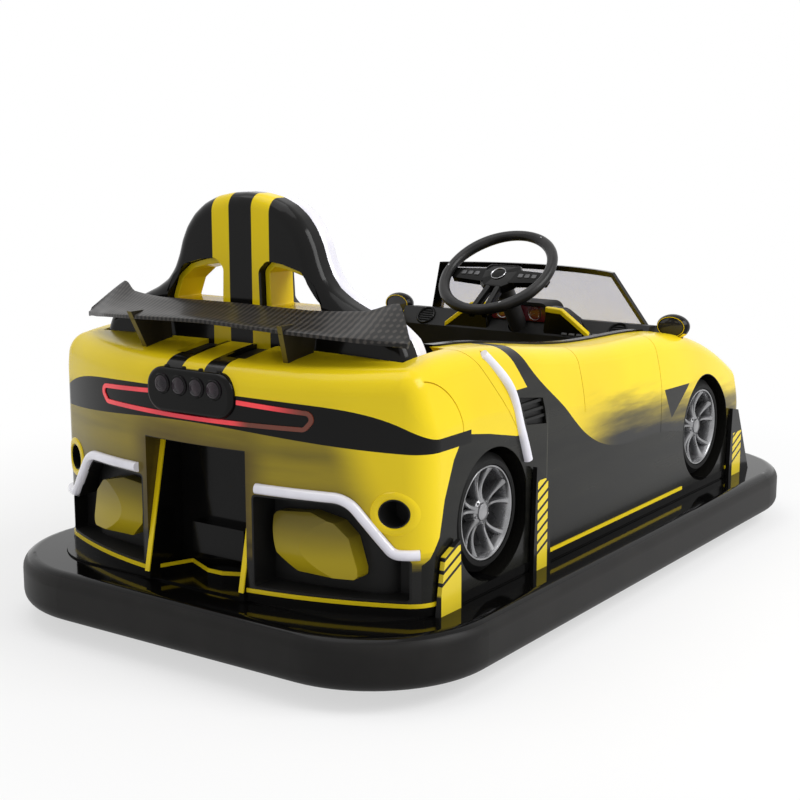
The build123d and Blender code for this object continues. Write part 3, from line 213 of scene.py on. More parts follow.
DECK_STRIPES_Z = 0.572
DECK_STRIPES_X = -0.745
RECESS_WALL = 0.1342
RECESS_TOP = 0.4525


def tail_shade(paint):
    """Painted shade in olive and umber streaks below the light band and near-black low on the left, a black
    foot, two black stripes on the deck.
    """
    shade_and_sheen_streaks = paint.noise(3.2, (0.5, 0.8, 8.0), 5.0)
    shade_blotches = paint.noise(2.6, (1.0, 1.0, 3.0), 3.0)
    across = paint.math("ABSOLUTE", paint.y)
    rear = paint.step(paint.x, -0.72, -0.79)
    wander = paint.times(paint.math("SUBTRACT", shade_and_sheen_streaks, 0.5), 0.12)
    height = paint.math("ADD", paint.z, wander)
    below = paint.times(paint.step(height, 0.55, 0.485), rear)
    to_side = paint.math("ADD", across, paint.times(paint.math("SUBTRACT", paint.z, 0.35), 0.35))
    inner = paint.math("MAXIMUM", paint.step(to_side, 0.435, 0.34), paint.step(paint.y, 0.0, 0.12))
    # Painted shade: olive streaks below the light band.
    olive_shade_mask = paint.times(paint.times(below, inner), paint.blend(shade_and_sheen_streaks, 0.55, 1.0))
    # Painted shade: umber in the middle just below the band.
    middle = paint.times(paint.step(across, 0.20, 0.12), paint.step(height, 0.52, 0.44))
    umber_shade_mask = paint.times(paint.times(middle, rear), paint.blend(shade_blotches, 0.6, 1.0))
    # Painted shade: near-black low on the left of the tail.
    dusk_shade_mask = paint.times(paint.step(height, 0.45, 0.30), paint.step(paint.y, 0.08, 0.20))
    dusk_shade_mask = paint.times(paint.times(dusk_shade_mask, rear), 0.92)
    foot = paint.times(paint.step(height, 0.285, 0.235), rear)
    pit = paint.times(paint.step(across, RECESS_WALL, RECESS_WALL - 0.0006),
                     paint.between(paint.z, 0.171, RECESS_TOP))
    stripes = paint.times(paint.between(across, STRIPE_INNER, STRIPE_OUTER),
                         paint.step(paint.z, DECK_STRIPES_Z, DECK_STRIPES_Z + 0.003))
    stripes = paint.times(stripes, paint.step(paint.x, DECK_STRIPES_X + 0.001, DECK_STRIPES_X))
    # Real black foot, diffuser walls and deck stripes, together with the painted shade low on the left.
    black_and_shade_mask = paint.math("MAXIMUM", paint.math("MAXIMUM", foot, dusk_shade_mask), paint.math("MAXIMUM", pit, stripes))
    return [(olive_shade_mask, OLIVE_SHADE), (umber_shade_mask, UMBER_SHADE), (paint.math("MAXIMUM", black_and_shade_mask, inside_arches(paint)), BLACK_AND_SHADE)]


VENT_BOX = (-0.4540, -0.3385, 0.4540, 0.5275)


def door_shade(paint):
    """The door's yellow goes through a painted mustard shade to black above the flank; cut walls are black.
    """
    shade_and_sheen_streaks = paint.noise(5.0, (1.2, 1.0, 8.0), 4.0)
    along = paint.step(paint.x, -0.24, 0.02)
    lean = paint.math("ADD", paint.z, paint.times(paint.x, 0.10))
    height = paint.math("ADD", lean, paint.times(paint.math("SUBTRACT", shade_and_sheen_streaks, 0.5), 0.09))
    # Painted shade: olive band above the black lower part.
    olive_shade_mask = paint.times(paint.step(height, 0.485, 0.40), along)
    black_and_shade_mask = paint.times(paint.step(height, 0.415, 0.37), along)
    rear, front, low, high = VENT_BOX
    pocket = paint.times(paint.between(paint.x, rear, front), paint.between(paint.z, low, high))
    cut = paint.math("MAXIMUM", pocket, inside_arches(paint))
    return [(olive_shade_mask, OLIVE_SHADE), (black_and_shade_mask, BLACK_AND_SHADE), (cut, BLACK_AND_SHADE)]


yellow = yellow_paint("yellow_gloss")
# The tail and side copies of the yellow carry painted shade.
yellow_shaded_tail = yellow_paint("yellow_gloss_shaded_tail", tail_shade)
yellow_shaded_side = yellow_paint("yellow_gloss_shaded_side", door_shade)
black_gloss = plain("black_gloss", (0.0028, 0.0028, 0.0027), (0.0056, 0.0054, 0.0052), 5.0,
                    (0.10, 0.18), (40, 0.02, 0.001), coat=0.04, coat_rough=0.02, specular=0.11)
black_satin = plain("black_satin", (0.006, 0.006, 0.006), (0.011, 0.0107, 0.0104), 14.0,
                    (0.42, 0.55), (300, 0.15, 0.0005), specular=0.2)
tyre_rubber = plain("tyre_rubber", (0.004, 0.004, 0.004), (0.008, 0.008, 0.0078), 26.0,
                    (0.5, 0.66), (240, 0.2, 0.0006), specular=0.15)
rim_metal = plain("rim_metal", (0.20, 0.20, 0.205), (0.34, 0.34, 0.35), 16.0, (0.2, 0.34),
                  (420, 0.05, 0.0003), metallic=0.85, coat=0.5, coat_rough=0.06)
rim_dark = plain("rim_dark", (0.012, 0.012, 0.013), (0.03, 0.03, 0.032), 30.0, (0.4, 0.55),
                 (200, 0.1, 0.0005), metallic=0.3)
alloy = plain("cast_alloy", (0.4, 0.4, 0.41), (0.58, 0.58, 0.6), 30.0, (0.34, 0.5),
              (500, 0.12, 0.0003), metallic=1.0)
frame_steel = plain("frame_steel", (0.014, 0.014, 0.015), (0.03, 0.03, 0.031), 22.0,
                    (0.4, 0.56), (500, 0.1, 0.0004), coat=0.15, coat_rough=0.3)
battery_case = plain("battery_case", (0.03, 0.03, 0.033), (0.055, 0.055, 0.06), 16.0,
                     (0.5, 0.64), (260, 0.1, 0.0005))
leather = plain("seat_leather", (0.010, 0.010, 0.010), (0.022, 0.021, 0.020), 20.0,
                (0.36, 0.5), (420, 0.35, 0.0009), specular=0.25)
lens_dark = plain("lens_dark", (0.008, 0.005, 0.009), (0.028, 0.015, 0.023), 45.0, (0.05, 0.1),
                  (90, 0.05, 0.0006), coat=0.1, coat_rough=0.02, specular=0.25)
lamp_clear = plain("lamp_clear", (0.42, 0.43, 0.46), (0.66, 0.67, 0.70), 24.0, (0.08, 0.16),
                   (60, 0.1, 0.001), coat=1.0, coat_rough=0.02)
grip_leather = plain("grip_leather", (0.010, 0.010, 0.010), (0.020, 0.019, 0.019), 26.0,
                     (0.28, 0.4), (520, 0.25, 0.0005), coat=0.05, coat_rough=0.15, specular=0.2)
switch_grey = plain("switch_grey", (0.05, 0.05, 0.052), (0.085, 0.085, 0.09), 40.0, (0.35, 0.5),
                    (300, 0.1, 0.0004))
satin_metal = plain("satin_metal", (0.42, 0.42, 0.43), (0.60, 0.60, 0.62), 60.0, (0.24, 0.36),
                    (500, 0.05, 0.0002), metallic=1.0)
display = plain("display", (0.10, 0.006, 0.012), (0.20, 0.02, 0.03), 30.0, (0.1, 0.2),
                (90, 0.02, 0.0005), coat=1.0, coat_rough=0.03)
mirror_glass = plain("mirror_glass", (0.012, 0.012, 0.014), (0.022, 0.022, 0.025), 8.0, (0.02, 0.05),
                     (20, 0.01, 0.0005), coat=0.2, specular=0.3)


def glowing(name, low, high, scale, strength, rough):
    """A lamp cover that gives off a little light of its own colour."""
    paint = Paint(name, coat=0.9, coat_rough=0.04)
    cloud = paint.noise(scale)
    colour = paint.mix(paint.step(cloud, 0.3, 0.7), low, high)
    paint.set("Base Color", colour)
    paint.set("Emission Color", colour)
    paint.set("Emission Strength", strength)
    paint.set("Roughness", paint.blend(cloud, *rough))
    return paint.material


def barrel_material():
    """Yellow darkened by painted shade, turning olive towards the top and the far side of the hollow as a
    painted reflection.
    """
    paint = Paint("barrel_yellow", coat=0.12, coat_rough=0.05, specular=0.15)
    cloud = paint.noise(6.0, (0.4, 0.4, 1.6))
    shade = paint.step(paint.math("ADD", paint.z, paint.times(cloud, 0.03)), 0.25, 0.34)
    # Both colours are painted shade; the darker one at the top is a painted reflection.
    colour = paint.mix(shade, (0.50, 0.38, 0.012), (0.20, 0.155, 0.02))
    paint.set("Base Color", colour)
    paint.set("Roughness", paint.blend(cloud, 0.25, 0.4))
    return paint.material


def lamp_material():
    """Red light strip, darker and dimmer below the pod on the right and towards the right end."""
    paint = Paint("lamp_red", coat=0.3, coat_rough=0.04, specular=0.3)
    cloud = paint.noise(9.0)
    lit = paint.mix(paint.step(cloud, 0.3, 0.7), (0.60, 0.022, 0.04), (0.86, 0.05, 0.06))
    right = paint.step(paint.y, -0.10, -0.15)
    low = paint.step(paint.z, 0.527, 0.517)
    far = paint.step(paint.y, -0.19, -0.27)
    dim = paint.times(right, paint.math("MAXIMUM", low, far))
    colour = paint.mix(dim, lit, (0.16, 0.030, 0.012))
    paint.set("Base Color", colour)
    paint.set("Emission Color", colour)
    paint.set("Emission Strength", paint.blend(dim, 0.3, 0.02))
    paint.set("Roughness", paint.blend(cloud, 0.16, 0.26))
    return paint.material


lamp_red = lamp_material()
barrel_yellow = barrel_material()
light_white = glowing("light_white", (0.66, 0.65, 0.72), (0.78, 0.77, 0.84), 12.0, 0.12, (0.2, 0.3))


def ring_material():
    """Satin moulded rubber on the sides, polished to a deep gloss on top."""
    paint = Paint("ring_rubber", specular=0.13)
    cloud = paint.noise(7.0)
    up = paint.facing_up()
    side = paint.mix(paint.step(cloud, 0.3, 0.7), (0.0105, 0.0100, 0.0096), (0.0165, 0.0156, 0.0148))
    paint.set("Base Color", paint.mix(up, side, (0.0026, 0.0025, 0.0024)))
    worn = paint.times(paint.step(up, 1.0, 0.0), paint.blend(cloud, 0.34, 0.46))
    paint.set("Roughness", paint.math("ADD", worn, 0.07))
    paint.bump(paint.noise(120, detail=4.0), 0.05, 0.0008)
    return paint.material


def flank_material():
    """Near-black panels with a painted greenish sheen in long streaks and a painted highlight along one
    crease.
    """
    paint = Paint("flank_black", coat=0.08, coat_rough=0.08, specular=0.12)
    shade_and_sheen_streaks = paint.noise(3.0, (1.0, 1.0, 7.0), 5.0)
    # Painted sheen: greenish streaks over the black.
    colour = paint.mix(paint.step(shade_and_sheen_streaks, 0.35, 0.75), (0.0052, 0.0053, 0.0046),
                       (0.0135, 0.0135, 0.0105))
    # Painted highlight: a light line along the crease at the panel's edge.
    crease_highlight = paint.times(paint.between(paint.x, -0.336, -0.333),
                        paint.step(paint.z, 0.50, 0.44))
    paint.set("Base Color", paint.mix(crease_highlight, colour, (0.05, 0.05, 0.04)))
    paint.set("Roughness", paint.blend(shade_and_sheen_streaks, 0.16, 0.34))
    paint.bump(shade_and_sheen_streaks, 0.08, 0.002)
    return paint.material


def carbon_material():
    """Lacquered twill: light and dark bands up the blade, crossed by a finer weft at the tips."""
    paint = Paint("carbon_twill", coat=0.12, coat_rough=0.06, specular=0.15)
    warp = paint.wave(26.0, "Y", 0.6)
    weft = paint.wave(34.0, "Z", 0.4)
    tip = paint.step(paint.math("ABSOLUTE", paint.y), 0.34, 0.38)
    cross = paint.times(weft, paint.blend(tip, 0.25, 0.9))
    weave = paint.math("SUBTRACT", warp, cross)
    colour = paint.mix(paint.step(weave, 0.1, 0.8), (0.0085, 0.0078, 0.0072), (0.050, 0.044, 0.039))
    paint.set("Base Color", colour)
    paint.set("Roughness", paint.blend(paint.noise(18.0), 0.28, 0.4))
    paint.bump(weave, 0.12, 0.0004)
    return paint.material


def strut_material():
    """Grey-brown moulded plates whose front and rear edges are yellow."""
    paint = Paint("strut_grey", coat=0.05, coat_rough=0.1, specular=0.15)
    edge = paint.step(paint.math("ABSOLUTE", paint.facing(0)), 0.7, 0.9)
    cloud = paint.noise(20.0, (1, 1, 0.3))
    grey = paint.mix(cloud, (0.014, 0.012, 0.008), (0.042, 0.036, 0.024))
    paint.set("Base Color", paint.mix(edge, grey, (0.13, 0.10, 0.012)))
    paint.set("Roughness", paint.blend(cloud, 0.3, 0.45))
    return paint.material


def seat_material():
    """Black gloss back with two yellow stripes that the slots cut into."""
    paint = Paint("seat_black", coat=0.05, coat_rough=0.02, specular=0.12)
    across = paint.math("ABSOLUTE", paint.y)
    stripe = paint.between(across, STRIPE_INNER, STRIPE_OUTER)
    cloud = paint.noise(5.0)
    black = paint.mix(cloud, (0.004, 0.0039, 0.0038), (0.009, 0.0087, 0.0084))
    gold = paint.mix(cloud, YELLOW_DEEP, YELLOW)
    outside = paint.math("MAXIMUM", paint.step(paint.facing(0), -0.2, -0.35),
                         paint.step(paint.z, 0.93, 0.935))
    stripe = paint.times(stripe, outside)
    paint.set("Base Color", paint.mix(stripe, black, gold))
    paint.set("Roughness", paint.blend(cloud, 0.12, 0.2))
    paint.bump(paint.noise(PEEL[0]), PEEL[1], PEEL[2])
    return paint.material


SLASH_PITCH = 0.0225
SLASH_LEAN = 0.45
FINS = [(-0.765, -0.694, 0.196, 0.275), (-0.395, -0.352, 0.176, 0.342), (0.660, 0.716, 0.176, 0.262)]


def fin_material():
    """Black gloss fins with a yellow foot and leaning yellow bars above it."""
    paint = Paint("fin_black", coat=0.06, coat_rough=0.03, specular=0.12)
    marks = 0.0
    for rear, front, foot, top in FINS:
        column = paint.between(paint.x, rear, front)
        lean = paint.times(paint.math("SUBTRACT", paint.x, rear), -SLASH_LEAN)
        height = paint.math("ADD", paint.z, lean)
        phase = paint.math("FRACT", paint.math("DIVIDE", height, SLASH_PITCH))
        bars = paint.times(paint.step(phase, 0.30, 0.34), paint.step(paint.z, top, top - 0.001))
        solid = paint.step(height, foot, foot - 0.001)
        mark = paint.times(column, paint.math("MAXIMUM", bars, solid))
        marks = paint.math("MAXIMUM", marks, mark)
    cloud = paint.noise(9.0)
    black = paint.mix(cloud, (0.004, 0.004, 0.0039), (0.009, 0.0087, 0.0084))
    paint.set("Base Color", paint.mix(marks, black, (0.80, 0.62, 0.03)))
    paint.set("Roughness", paint.blend(cloud, 0.14, 0.24))
    return paint.material


def glass_material():
    """Pale lavender-grey pane."""
    paint = Paint("pane", coat=0.1, coat_rough=0.02, specular=0.3)
    cloud = paint.noise(3.0)
    paint.set("Base Color", paint.mix(cloud, (0.52, 0.50, 0.90), (0.58, 0.56, 0.96)))
    paint.set("Roughness", paint.blend(cloud, 0.03, 0.08))
    paint.set("Alpha", paint.blend(cloud, 0.30, 0.36))
    return paint.material


ring_rubber = ring_material()
flank_black = flank_material()
carbon = carbon_material()
strut_grey = strut_material()
seat_black = seat_material()
fin_black = fin_material()
pane = glass_material()

NODE_MATERIALS = {
    "bumper_ring": ring_rubber, "deck": black_gloss, "chassis_frame": frame_steel,
    "battery": battery_case, "rear_axle": frame_steel, "drive_bridge": frame_steel,
    "drive_fork": frame_steel, "drive_tyre": tyre_rubber, "drive_hub": alloy,
    "rear_tyre_left": tyre_rubber, "rear_tyre_right": tyre_rubber, "rear_hub_left": alloy,
    "rear_hub_right": alloy, "body_tail": yellow_shaded_tail, "body_side_left": yellow_shaded_side,
    "body_side_right": yellow_shaded_side, "body_front": yellow_shaded_side, "flank_panels": flank_black,
    "vents": black_satin, "corner_liners": black_satin, "front_grille": black_satin,
    "headlamps": lamp_clear, "tail_band": black_gloss, "tail_lamps": lamp_red,
    "lamp_pod": black_gloss, "lamp_lenses": lens_dark, "rear_diffuser": black_gloss,
    "tail_barrels": barrel_yellow, "skirt_foot": black_gloss, "skirt_trim": yellow,
    "corner_fins": fin_black, "dummy_tyres": tyre_rubber, "dummy_rims": rim_metal,
    "seat_shell": seat_black, "slot_liners": yellow, "seat_base": black_gloss,
    "seat_cushion": leather, "seat_back_pad": leather, "wing_blade": carbon,
    "wing_struts": strut_grey, "windscreen_frame": black_gloss, "windscreen_glass": pane,
    "dashboard": black_satin, "cockpit_rim": black_gloss, "mirror_left": black_gloss,
    "mirror_right": black_gloss, "steering_column": frame_steel,
    "steering_wheel": black_gloss, "pedals": frame_steel, "light_tubes": light_white,
}
for name, obj in NODES.items():
    obj.data.materials.clear()
    obj.data.materials.append(NODE_MATERIALS[name])


# Mesh helpers

def add_loop(bm, at, points):
    """New vertices at points given in the frame of a matrix."""
    return [bm.verts.new(at @ Vector(point)) for point in points]


def skin(bm, loops, material=0, closed=True):
    """Faces between neighbouring loops of equal length."""
    count = len(loops[0])
    for low, high in zip(loops, loops[1:]):
        for i in range(count if closed else count - 1):
            j = (i + 1) % count
            bm.faces.new((low[i], low[j], high[j], high[i])).material_index = material


def cap(bm, loop, material=0):
    bm.faces.new(loop).material_index = material


def lathe(bm, at, profile, steps=48, material=0, closed=False):
    """Surface of (radius, height) points turned about the matrix's third axis."""
    loops = []
    for radius, height in profile:
        loops.append(add_loop(bm, at, [
            (radius * math.cos(math.tau * i / steps), radius * math.sin(math.tau * i / steps),
             height) for i in range(steps)]))
    skin(bm, loops + loops[:1] if closed else loops, material)
    if not closed:
        cap(bm, loops[0], material)
        cap(bm, loops[-1], material)


def inset_outline(outline, amount):
    """Outline drawn in along the bisectors of its corners."""
    count = len(outline)
    result = []
    for i in range(count):
        before, here, after = outline[i - 1], outline[i], outline[(i + 1) % count]
        first = Vector((here[0] - before[0], here[1] - before[1])).normalized()
        second = Vector((after[0] - here[0], after[1] - here[1])).normalized()
        inward = Vector((-first.y - second.y, first.x + second.x))
        reach = amount * 2 / max(inward.length_squared, 1.0)
        result.append((here[0] + inward.x * reach, here[1] + inward.y * reach))
    return result


def rounded_outline(points, radius, steps=5):
    """Outline with arcs at its corners, counter-clockwise."""
    result = []
    count = len(points)
    for i in range(count):
        here = Vector(points[i])
        before = (Vector(points[i - 1]) - here).normalized()
        after = (Vector(points[(i + 1) % count]) - here).normalized()
        half = before.angle(after) / 2
        back = radius / math.tan(half)
        centre = here + (before + after).normalized() * (radius / math.sin(half))
        start = here + before * back - centre
        end = here + after * back - centre
        sweep = start.angle_signed(end)
        for k in range(steps + 1):
            turned = start.copy()
            turned.rotate(Matrix.Rotation(-sweep * k / steps, 2))
            result.append(tuple(centre + turned))
    return result


def plate(bm, at, outline, low, high, edge, material=0, dome=0.0):
    """Plate with a rounded upper edge over a flat outline."""
    levels = [(0, low), (0, high - edge), (edge * 0.3, high - edge * 0.3), (edge, high)]
    loops = []
    for amount, height in levels:
        drawn = inset_outline(outline, amount) if amount else outline
        loops.append(add_loop(bm, at, [(x, y, height) for x, y in drawn]))
    skin(bm, loops, material)
    cap(bm, loops[0], material)
    middle_x = sum(x for x, y in outline) / len(outline)
    middle_y = sum(y for x, y in outline) / len(outline)
    middle = bm.verts.new(at @ Vector((middle_x, middle_y, high + dome)))
    top = loops[-1]
    for i in range(len(top)):
        bm.faces.new((top[i], top[(i + 1) % len(top)], middle)).material_index = material


def pipe(bm, points, radius, steps=12, material=0, closed=False):
    """Round tube through a list of points."""
    points = [Vector(point) for point in points]
    count = len(points)
    loops = []
    side = None
    for i, point in enumerate(points):
        if closed:
            ahead = (points[(i + 1) % count] - points[i - 1]).normalized()
        else:
            ahead = (points[min(i + 1, count - 1)] - points[max(i - 1, 0)]).normalized()
        if side is None:
            side = ahead.orthogonal().normalized()
        side = (side - ahead * side.dot(ahead)).normalized()
        up = ahead.cross(side)
        loops.append([bm.verts.new(point + radius * (side * math.cos(math.tau * k / steps)
                                                     + up * math.sin(math.tau * k / steps)))
                      for k in range(steps)])
    skin(bm, loops + loops[:1] if closed else loops, material)
    if not closed:
        cap(bm, loops[0], material)
        cap(bm, loops[-1], material)


def piece(name, bm, materials, body="car", sharp=35):
    """Turn a bmesh into a named piece that rides on a body."""
    bmesh.ops.recalc_face_normals(bm, faces=bm.faces)
    mesh = bpy.data.meshes.new(name)
    bm.to_mesh(mesh)
    bm.free()
    for material in materials:
        mesh.materials.append(material)
    mesh.polygons.foreach_set("use_smooth", [True] * len(mesh.polygons))
    mesh.set_sharp_from_angle(angle=math.radians(sharp))
    obj = bpy.data.objects.new(name, mesh)
    bpy.context.scene.collection.objects.link(obj)
    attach(obj, body)
    return obj


def basis(origin, x_axis, z_axis):
    """Matrix of a frame with its origin, its first axis and its third axis."""
    third = Vector(z_axis).normalized()
    first = Vector(x_axis)
    first = (first - third * first.dot(third)).normalized()
    second = third.cross(first)
    matrix = Matrix((first, second, third)).transposed().to_4x4()
    matrix.translation = Vector(origin)
    return matrix


# Alloy rims of the four dummy wheels

RIM_RADIUS = 0.0995
RIM_FACE = 0.0705
RIM_BACK = 0.020
SPOKE_PAIRS = 5
SPOKE_SPREAD_HUB = math.radians(7)
SPOKE_SPREAD_RIM = math.radians(15)


def spoke(bm, at, middle, side):
    """One spoke of a pair, from the hub out to the rim, dished between them."""
    loops = []
    for k in range(9):
        share = k / 8
        radius = 0.020 + share * 0.072
        turn = middle + side * (SPOKE_SPREAD_HUB + (SPOKE_SPREAD_RIM - SPOKE_SPREAD_HUB) * share ** 1.6)
        width = 0.0125 - 0.0045 * math.sin(math.pi * share) + 0.003 * share ** 4
        face = RIM_FACE - 0.010 - 0.009 * math.sin(math.pi * share ** 0.8) + 0.006 * share ** 3
        out = Vector((math.cos(turn), math.sin(turn), 0))
        across = Vector((-out.y, out.x, 0))
        section = [(-0.5, -0.020), (-0.5, -0.004), (-0.28, 0), (0.28, 0), (0.5, -0.004), (0.5, -0.020)]
        loops.append(add_loop(bm, at, [out * radius + across * (u * width) + Vector((0, 0, face + v))
                                       for u, v in section]))
    skin(bm, loops)
    cap(bm, loops[0])
    cap(bm, loops[-1])


def rim(bm, centre, side):
    """Rim of one wheel: lip, dark well, five double spokes, hub cap and bolts."""
    at = basis(centre, (1, 0, 0), (0, side, 0))
    lathe(bm, at, [(RIM_RADIUS, 0.0), (RIM_RADIUS, RIM_FACE - 0.002), (0.0975, RIM_FACE),
                   (0.0945, RIM_FACE - 0.0005), (0.092, RIM_FACE - 0.004), (0.0895, RIM_FACE - 0.012),
                   (0.0875, RIM_FACE - 0.030), (0.0865, RIM_BACK), (0.0865, 0.0)], 72)
    lathe(bm, at, [(0.087, 0.001), (0.087, RIM_BACK), (0.060, RIM_BACK + 0.002),
                   (0.058, RIM_BACK + 0.008), (0.030, RIM_BACK + 0.009)], 48, material=1)
    lathe(bm, at, [(0.029, RIM_BACK), (0.029, 0.047), (0.0265, 0.055), (0.0215, 0.0585),
                   (0.0195, 0.0585), (0.0185, 0.0625), (0.0150, 0.0645), (0.006, 0.0655)], 40)
    for pair in range(SPOKE_PAIRS):
        middle = math.radians(90) + math.tau * pair / SPOKE_PAIRS
        for hand in (1, -1):
            spoke(bm, at, middle, hand)
        turn = middle + math.pi / SPOKE_PAIRS
        bolt = at @ Matrix.Translation((0.0238 * math.cos(turn), 0.0238 * math.sin(turn), 0))
        lathe(bm, bolt, [(0.0026, 0.050), (0.0026, 0.0592), (0.0018, 0.0602)], 6)


bm = bmesh.new()
tyre_low, tyre_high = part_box("dummy_tyres")
wheel_z = (tyre_low.z + tyre_high.z) / 2
tyre_radius = (tyre_high.z - tyre_low.z) / 2
for wheel_x in (tyre_low.x + tyre_radius, tyre_high.x - tyre_radius):
    for side in (1, -1):
        rim(bm, (wheel_x, side * (tyre_high.y - 0.072), wheel_z), side)
rims = piece("alloy_rims", bm, [rim_metal, rim_dark])
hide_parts("dummy_rims")


# Lamp pod: four separate lamps in broad black bezels, stepped lenses, bosses on top

lens_low, lens_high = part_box("lamp_lenses")
pod_low, pod_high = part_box("lamp_pod")
lens_z = (lens_low.z + lens_high.z) / 2
lens_radius = (lens_high.z - lens_low.z) / 2
lens_pitch = (lens_high.y - lens_low.y - 2 * lens_radius) / 3
lens_places = [lens_low.y + lens_radius + k * lens_pitch for k in range(4)]
BEZEL_WIDTH = 0.0042
glass_radius = lens_radius - BEZEL_WIDTH
bm = bmesh.new()
for y in lens_places:
    at = basis((lens_low.x + 0.002, y, lens_z), (0, 0, 1), (-1, 0, 0))
    lathe(bm, at, [(glass_radius, 0.0), (lens_radius - 0.0002, 0.0006),
                   (lens_radius, 0.0020), (lens_radius - 0.0012, 0.0032),
                   (glass_radius + 0.0012, 0.0032), (glass_radius, 0.0018)],
          48, closed=True)
piece("lens_bezels", bm, [black_gloss])
bm = bmesh.new()
for y in lens_places:
    at = basis((lens_low.x, y, lens_z), (0, 0, 1), (-1, 0, 0))
    lathe(bm, at, [(glass_radius - 0.0002, -0.001), (glass_radius - 0.0004, 0.0010),
                   (glass_radius - 0.0034, 0.0024), (glass_radius - 0.0044, 0.0016),
                   (glass_radius - 0.0074, 0.0030), (glass_radius - 0.0084, 0.0022),
                   (0.004, 0.0038), (0.001, 0.0039)], 40)
piece("lens_glasses", bm, [lens_dark])
bm = bmesh.new()
for y in lens_places:
    at = basis((pod_low.x + 0.016, y, pod_high.z - 0.0014), (1, 0, 0), (0, 0, 1))
    lathe(bm, at, [(0.0056, 0.0), (0.0052, 0.003), (0.0036, 0.0048), (0.001, 0.0054)], 20)
piece("pod_bosses", bm, [black_gloss])


# Steering wheel: padded grip, domed boss, shaped spokes, switches and shaft

WHEEL_CENTRE = (0.265, 0.0, 0.699)
WHEEL_RAKE = math.radians(54.2)
GRIP_CIRCLE = 0.147
GRIP_RADIUS = 0.0148
SHAFT_LENGTH = 0.368
wheel_at = basis(WHEEL_CENTRE, (math.sin(WHEEL_RAKE), 0, math.cos(WHEEL_RAKE)),
                 (-math.cos(WHEEL_RAKE), 0, math.sin(WHEEL_RAKE)))


def grip(bm):
    """Ring grip, a little thicker at the hands and pinched between."""
    steps = 120
    loops = []
    for i in range(steps):
        turn = math.tau * i / steps
        radius = GRIP_RADIUS * (0.955 + 0.045 * math.cos(4 * turn + math.pi))
        out = Vector((math.cos(turn), math.sin(turn), 0))
        loops.append(add_loop(bm, wheel_at, [
            out * (GRIP_CIRCLE + radius * math.cos(math.tau * k / 20))
            + Vector((0, 0, radius * math.sin(math.tau * k / 20))) for k in range(20)]))
    skin(bm, loops + loops[:1])


def wheel_boss(bm):
    """Domed boss with two broad side spokes and a pair of lower ones."""
    boss = [(0.044, -0.046), (0.044, 0.046), (0.018, 0.060), (-0.022, 0.052), (-0.044, 0.026),
            (-0.044, -0.026), (-0.022, -0.052), (0.018, -0.060)]
    plate(bm, wheel_at, rounded_outline(boss, 0.012), -0.034, -0.010, 0.008, dome=0.006)
    for side in (1, -1):
        arm = [(0.017, side * 0.040), (0.011, side * 0.142), (-0.013, side * 0.142), (-0.022, side * 0.040)]
        outline = rounded_outline(arm if side < 0 else arm[::-1], 0.004)
        plate(bm, wheel_at, outline, -0.032, -0.010, 0.006, dome=0.002)
        leg = [(-0.030, side * 0.014 - 0.009), (-0.030, side * 0.014 + 0.009),
               (-0.141, side * 0.020 + 0.008), (-0.141, side * 0.020 - 0.008)]
        plate(bm, wheel_at, rounded_outline(leg, 0.004), -0.032, -0.012, 0.005, dome=0.001)


bm = bmesh.new()
grip(bm)
piece("wheel_grip", bm, [grip_leather], body="steering")
bm = bmesh.new()
wheel_boss(bm)
lathe(bm, wheel_at, [(0.0125, -0.034 - SHAFT_LENGTH), (0.0125, -0.040),
                     (0.026, -0.038), (0.032, -0.030)], 32)
boss = piece("wheel_boss", bm, [black_gloss], body="steering")
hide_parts("steering_wheel")
bm = bmesh.new()
for side in (1, -1):
    for along in (0.066, 0.086, 0.106):
        key = [(0.006, side * along - 0.007), (0.006, side * along + 0.007),
               (-0.008, side * along + 0.007), (-0.008, side * along - 0.007)]
        plate(bm, wheel_at, rounded_outline(key, 0.003), -0.010, -0.0065, 0.0012)
piece("wheel_switches", bm, [switch_grey], body="steering")
bm = bmesh.new()
lathe(bm, wheel_at, [(0.0185, -0.0082), (0.0200, -0.0056), (0.0208, -0.0040), (0.0200, -0.0032),
                     (0.0190, -0.0040), (0.0182, -0.0060)], 48, closed=True)
for step in range(3):
    turn = math.radians(90 + 120 * step)
    path = [wheel_at @ Vector((GRIP_CIRCLE * math.cos(t), GRIP_CIRCLE * math.sin(t), GRIP_RADIUS * 0.97))
            for t in (turn - 0.02, turn, turn + 0.02)]
    pipe(bm, path, 0.0012, 8)
piece("wheel_trim", bm, [satin_metal], body="steering")


# Dashboard: hood display with two dials, side cheeks with yellow edge, vents and switches

HOOD_FACE_X = 0.379
bm = bmesh.new()
panel_at = basis((HOOD_FACE_X, 0, 0.581), (0, -1, 0), (-1, 0, 0))
panel = rounded_outline([(-0.084, -0.021), (0.084, -0.021), (0.084, 0.020), (-0.084, 0.020)], 0.008)
plate(bm, panel_at, panel, -0.002, 0.004, 0.0015)
piece("dash_display", bm, [display])
bm = bmesh.new()
for y in (-0.050, 0.050):
    at = basis((HOOD_FACE_X - 0.004, y, 0.582), (0, -1, 0), (-1, 0, 0))
    lathe(bm, at, [(0.0165, 0.0), (0.0172, 0.0018), (0.0180, 0.0022), (0.0186, 0.0010), (0.0184, 0.0)],
          40, closed=True)
    for k in range(9):
        turn = math.radians(-30 + 30 * k)
        tick = at @ Matrix.Rotation(turn, 4, "Z")
        pipe(bm, [tick @ Vector((0.0120, 0, 0.0008)), tick @ Vector((0.0148, 0, 0.0008))], 0.0005, 6)
    needle = at @ Matrix.Rotation(math.radians(200), 4, "Z")
    pipe(bm, [needle @ Vector((0, 0, 0.0014)), needle @ Vector((0.0125, 0, 0.0014))], 0.0006, 6)
piece("dash_dials", bm, [satin_metal])

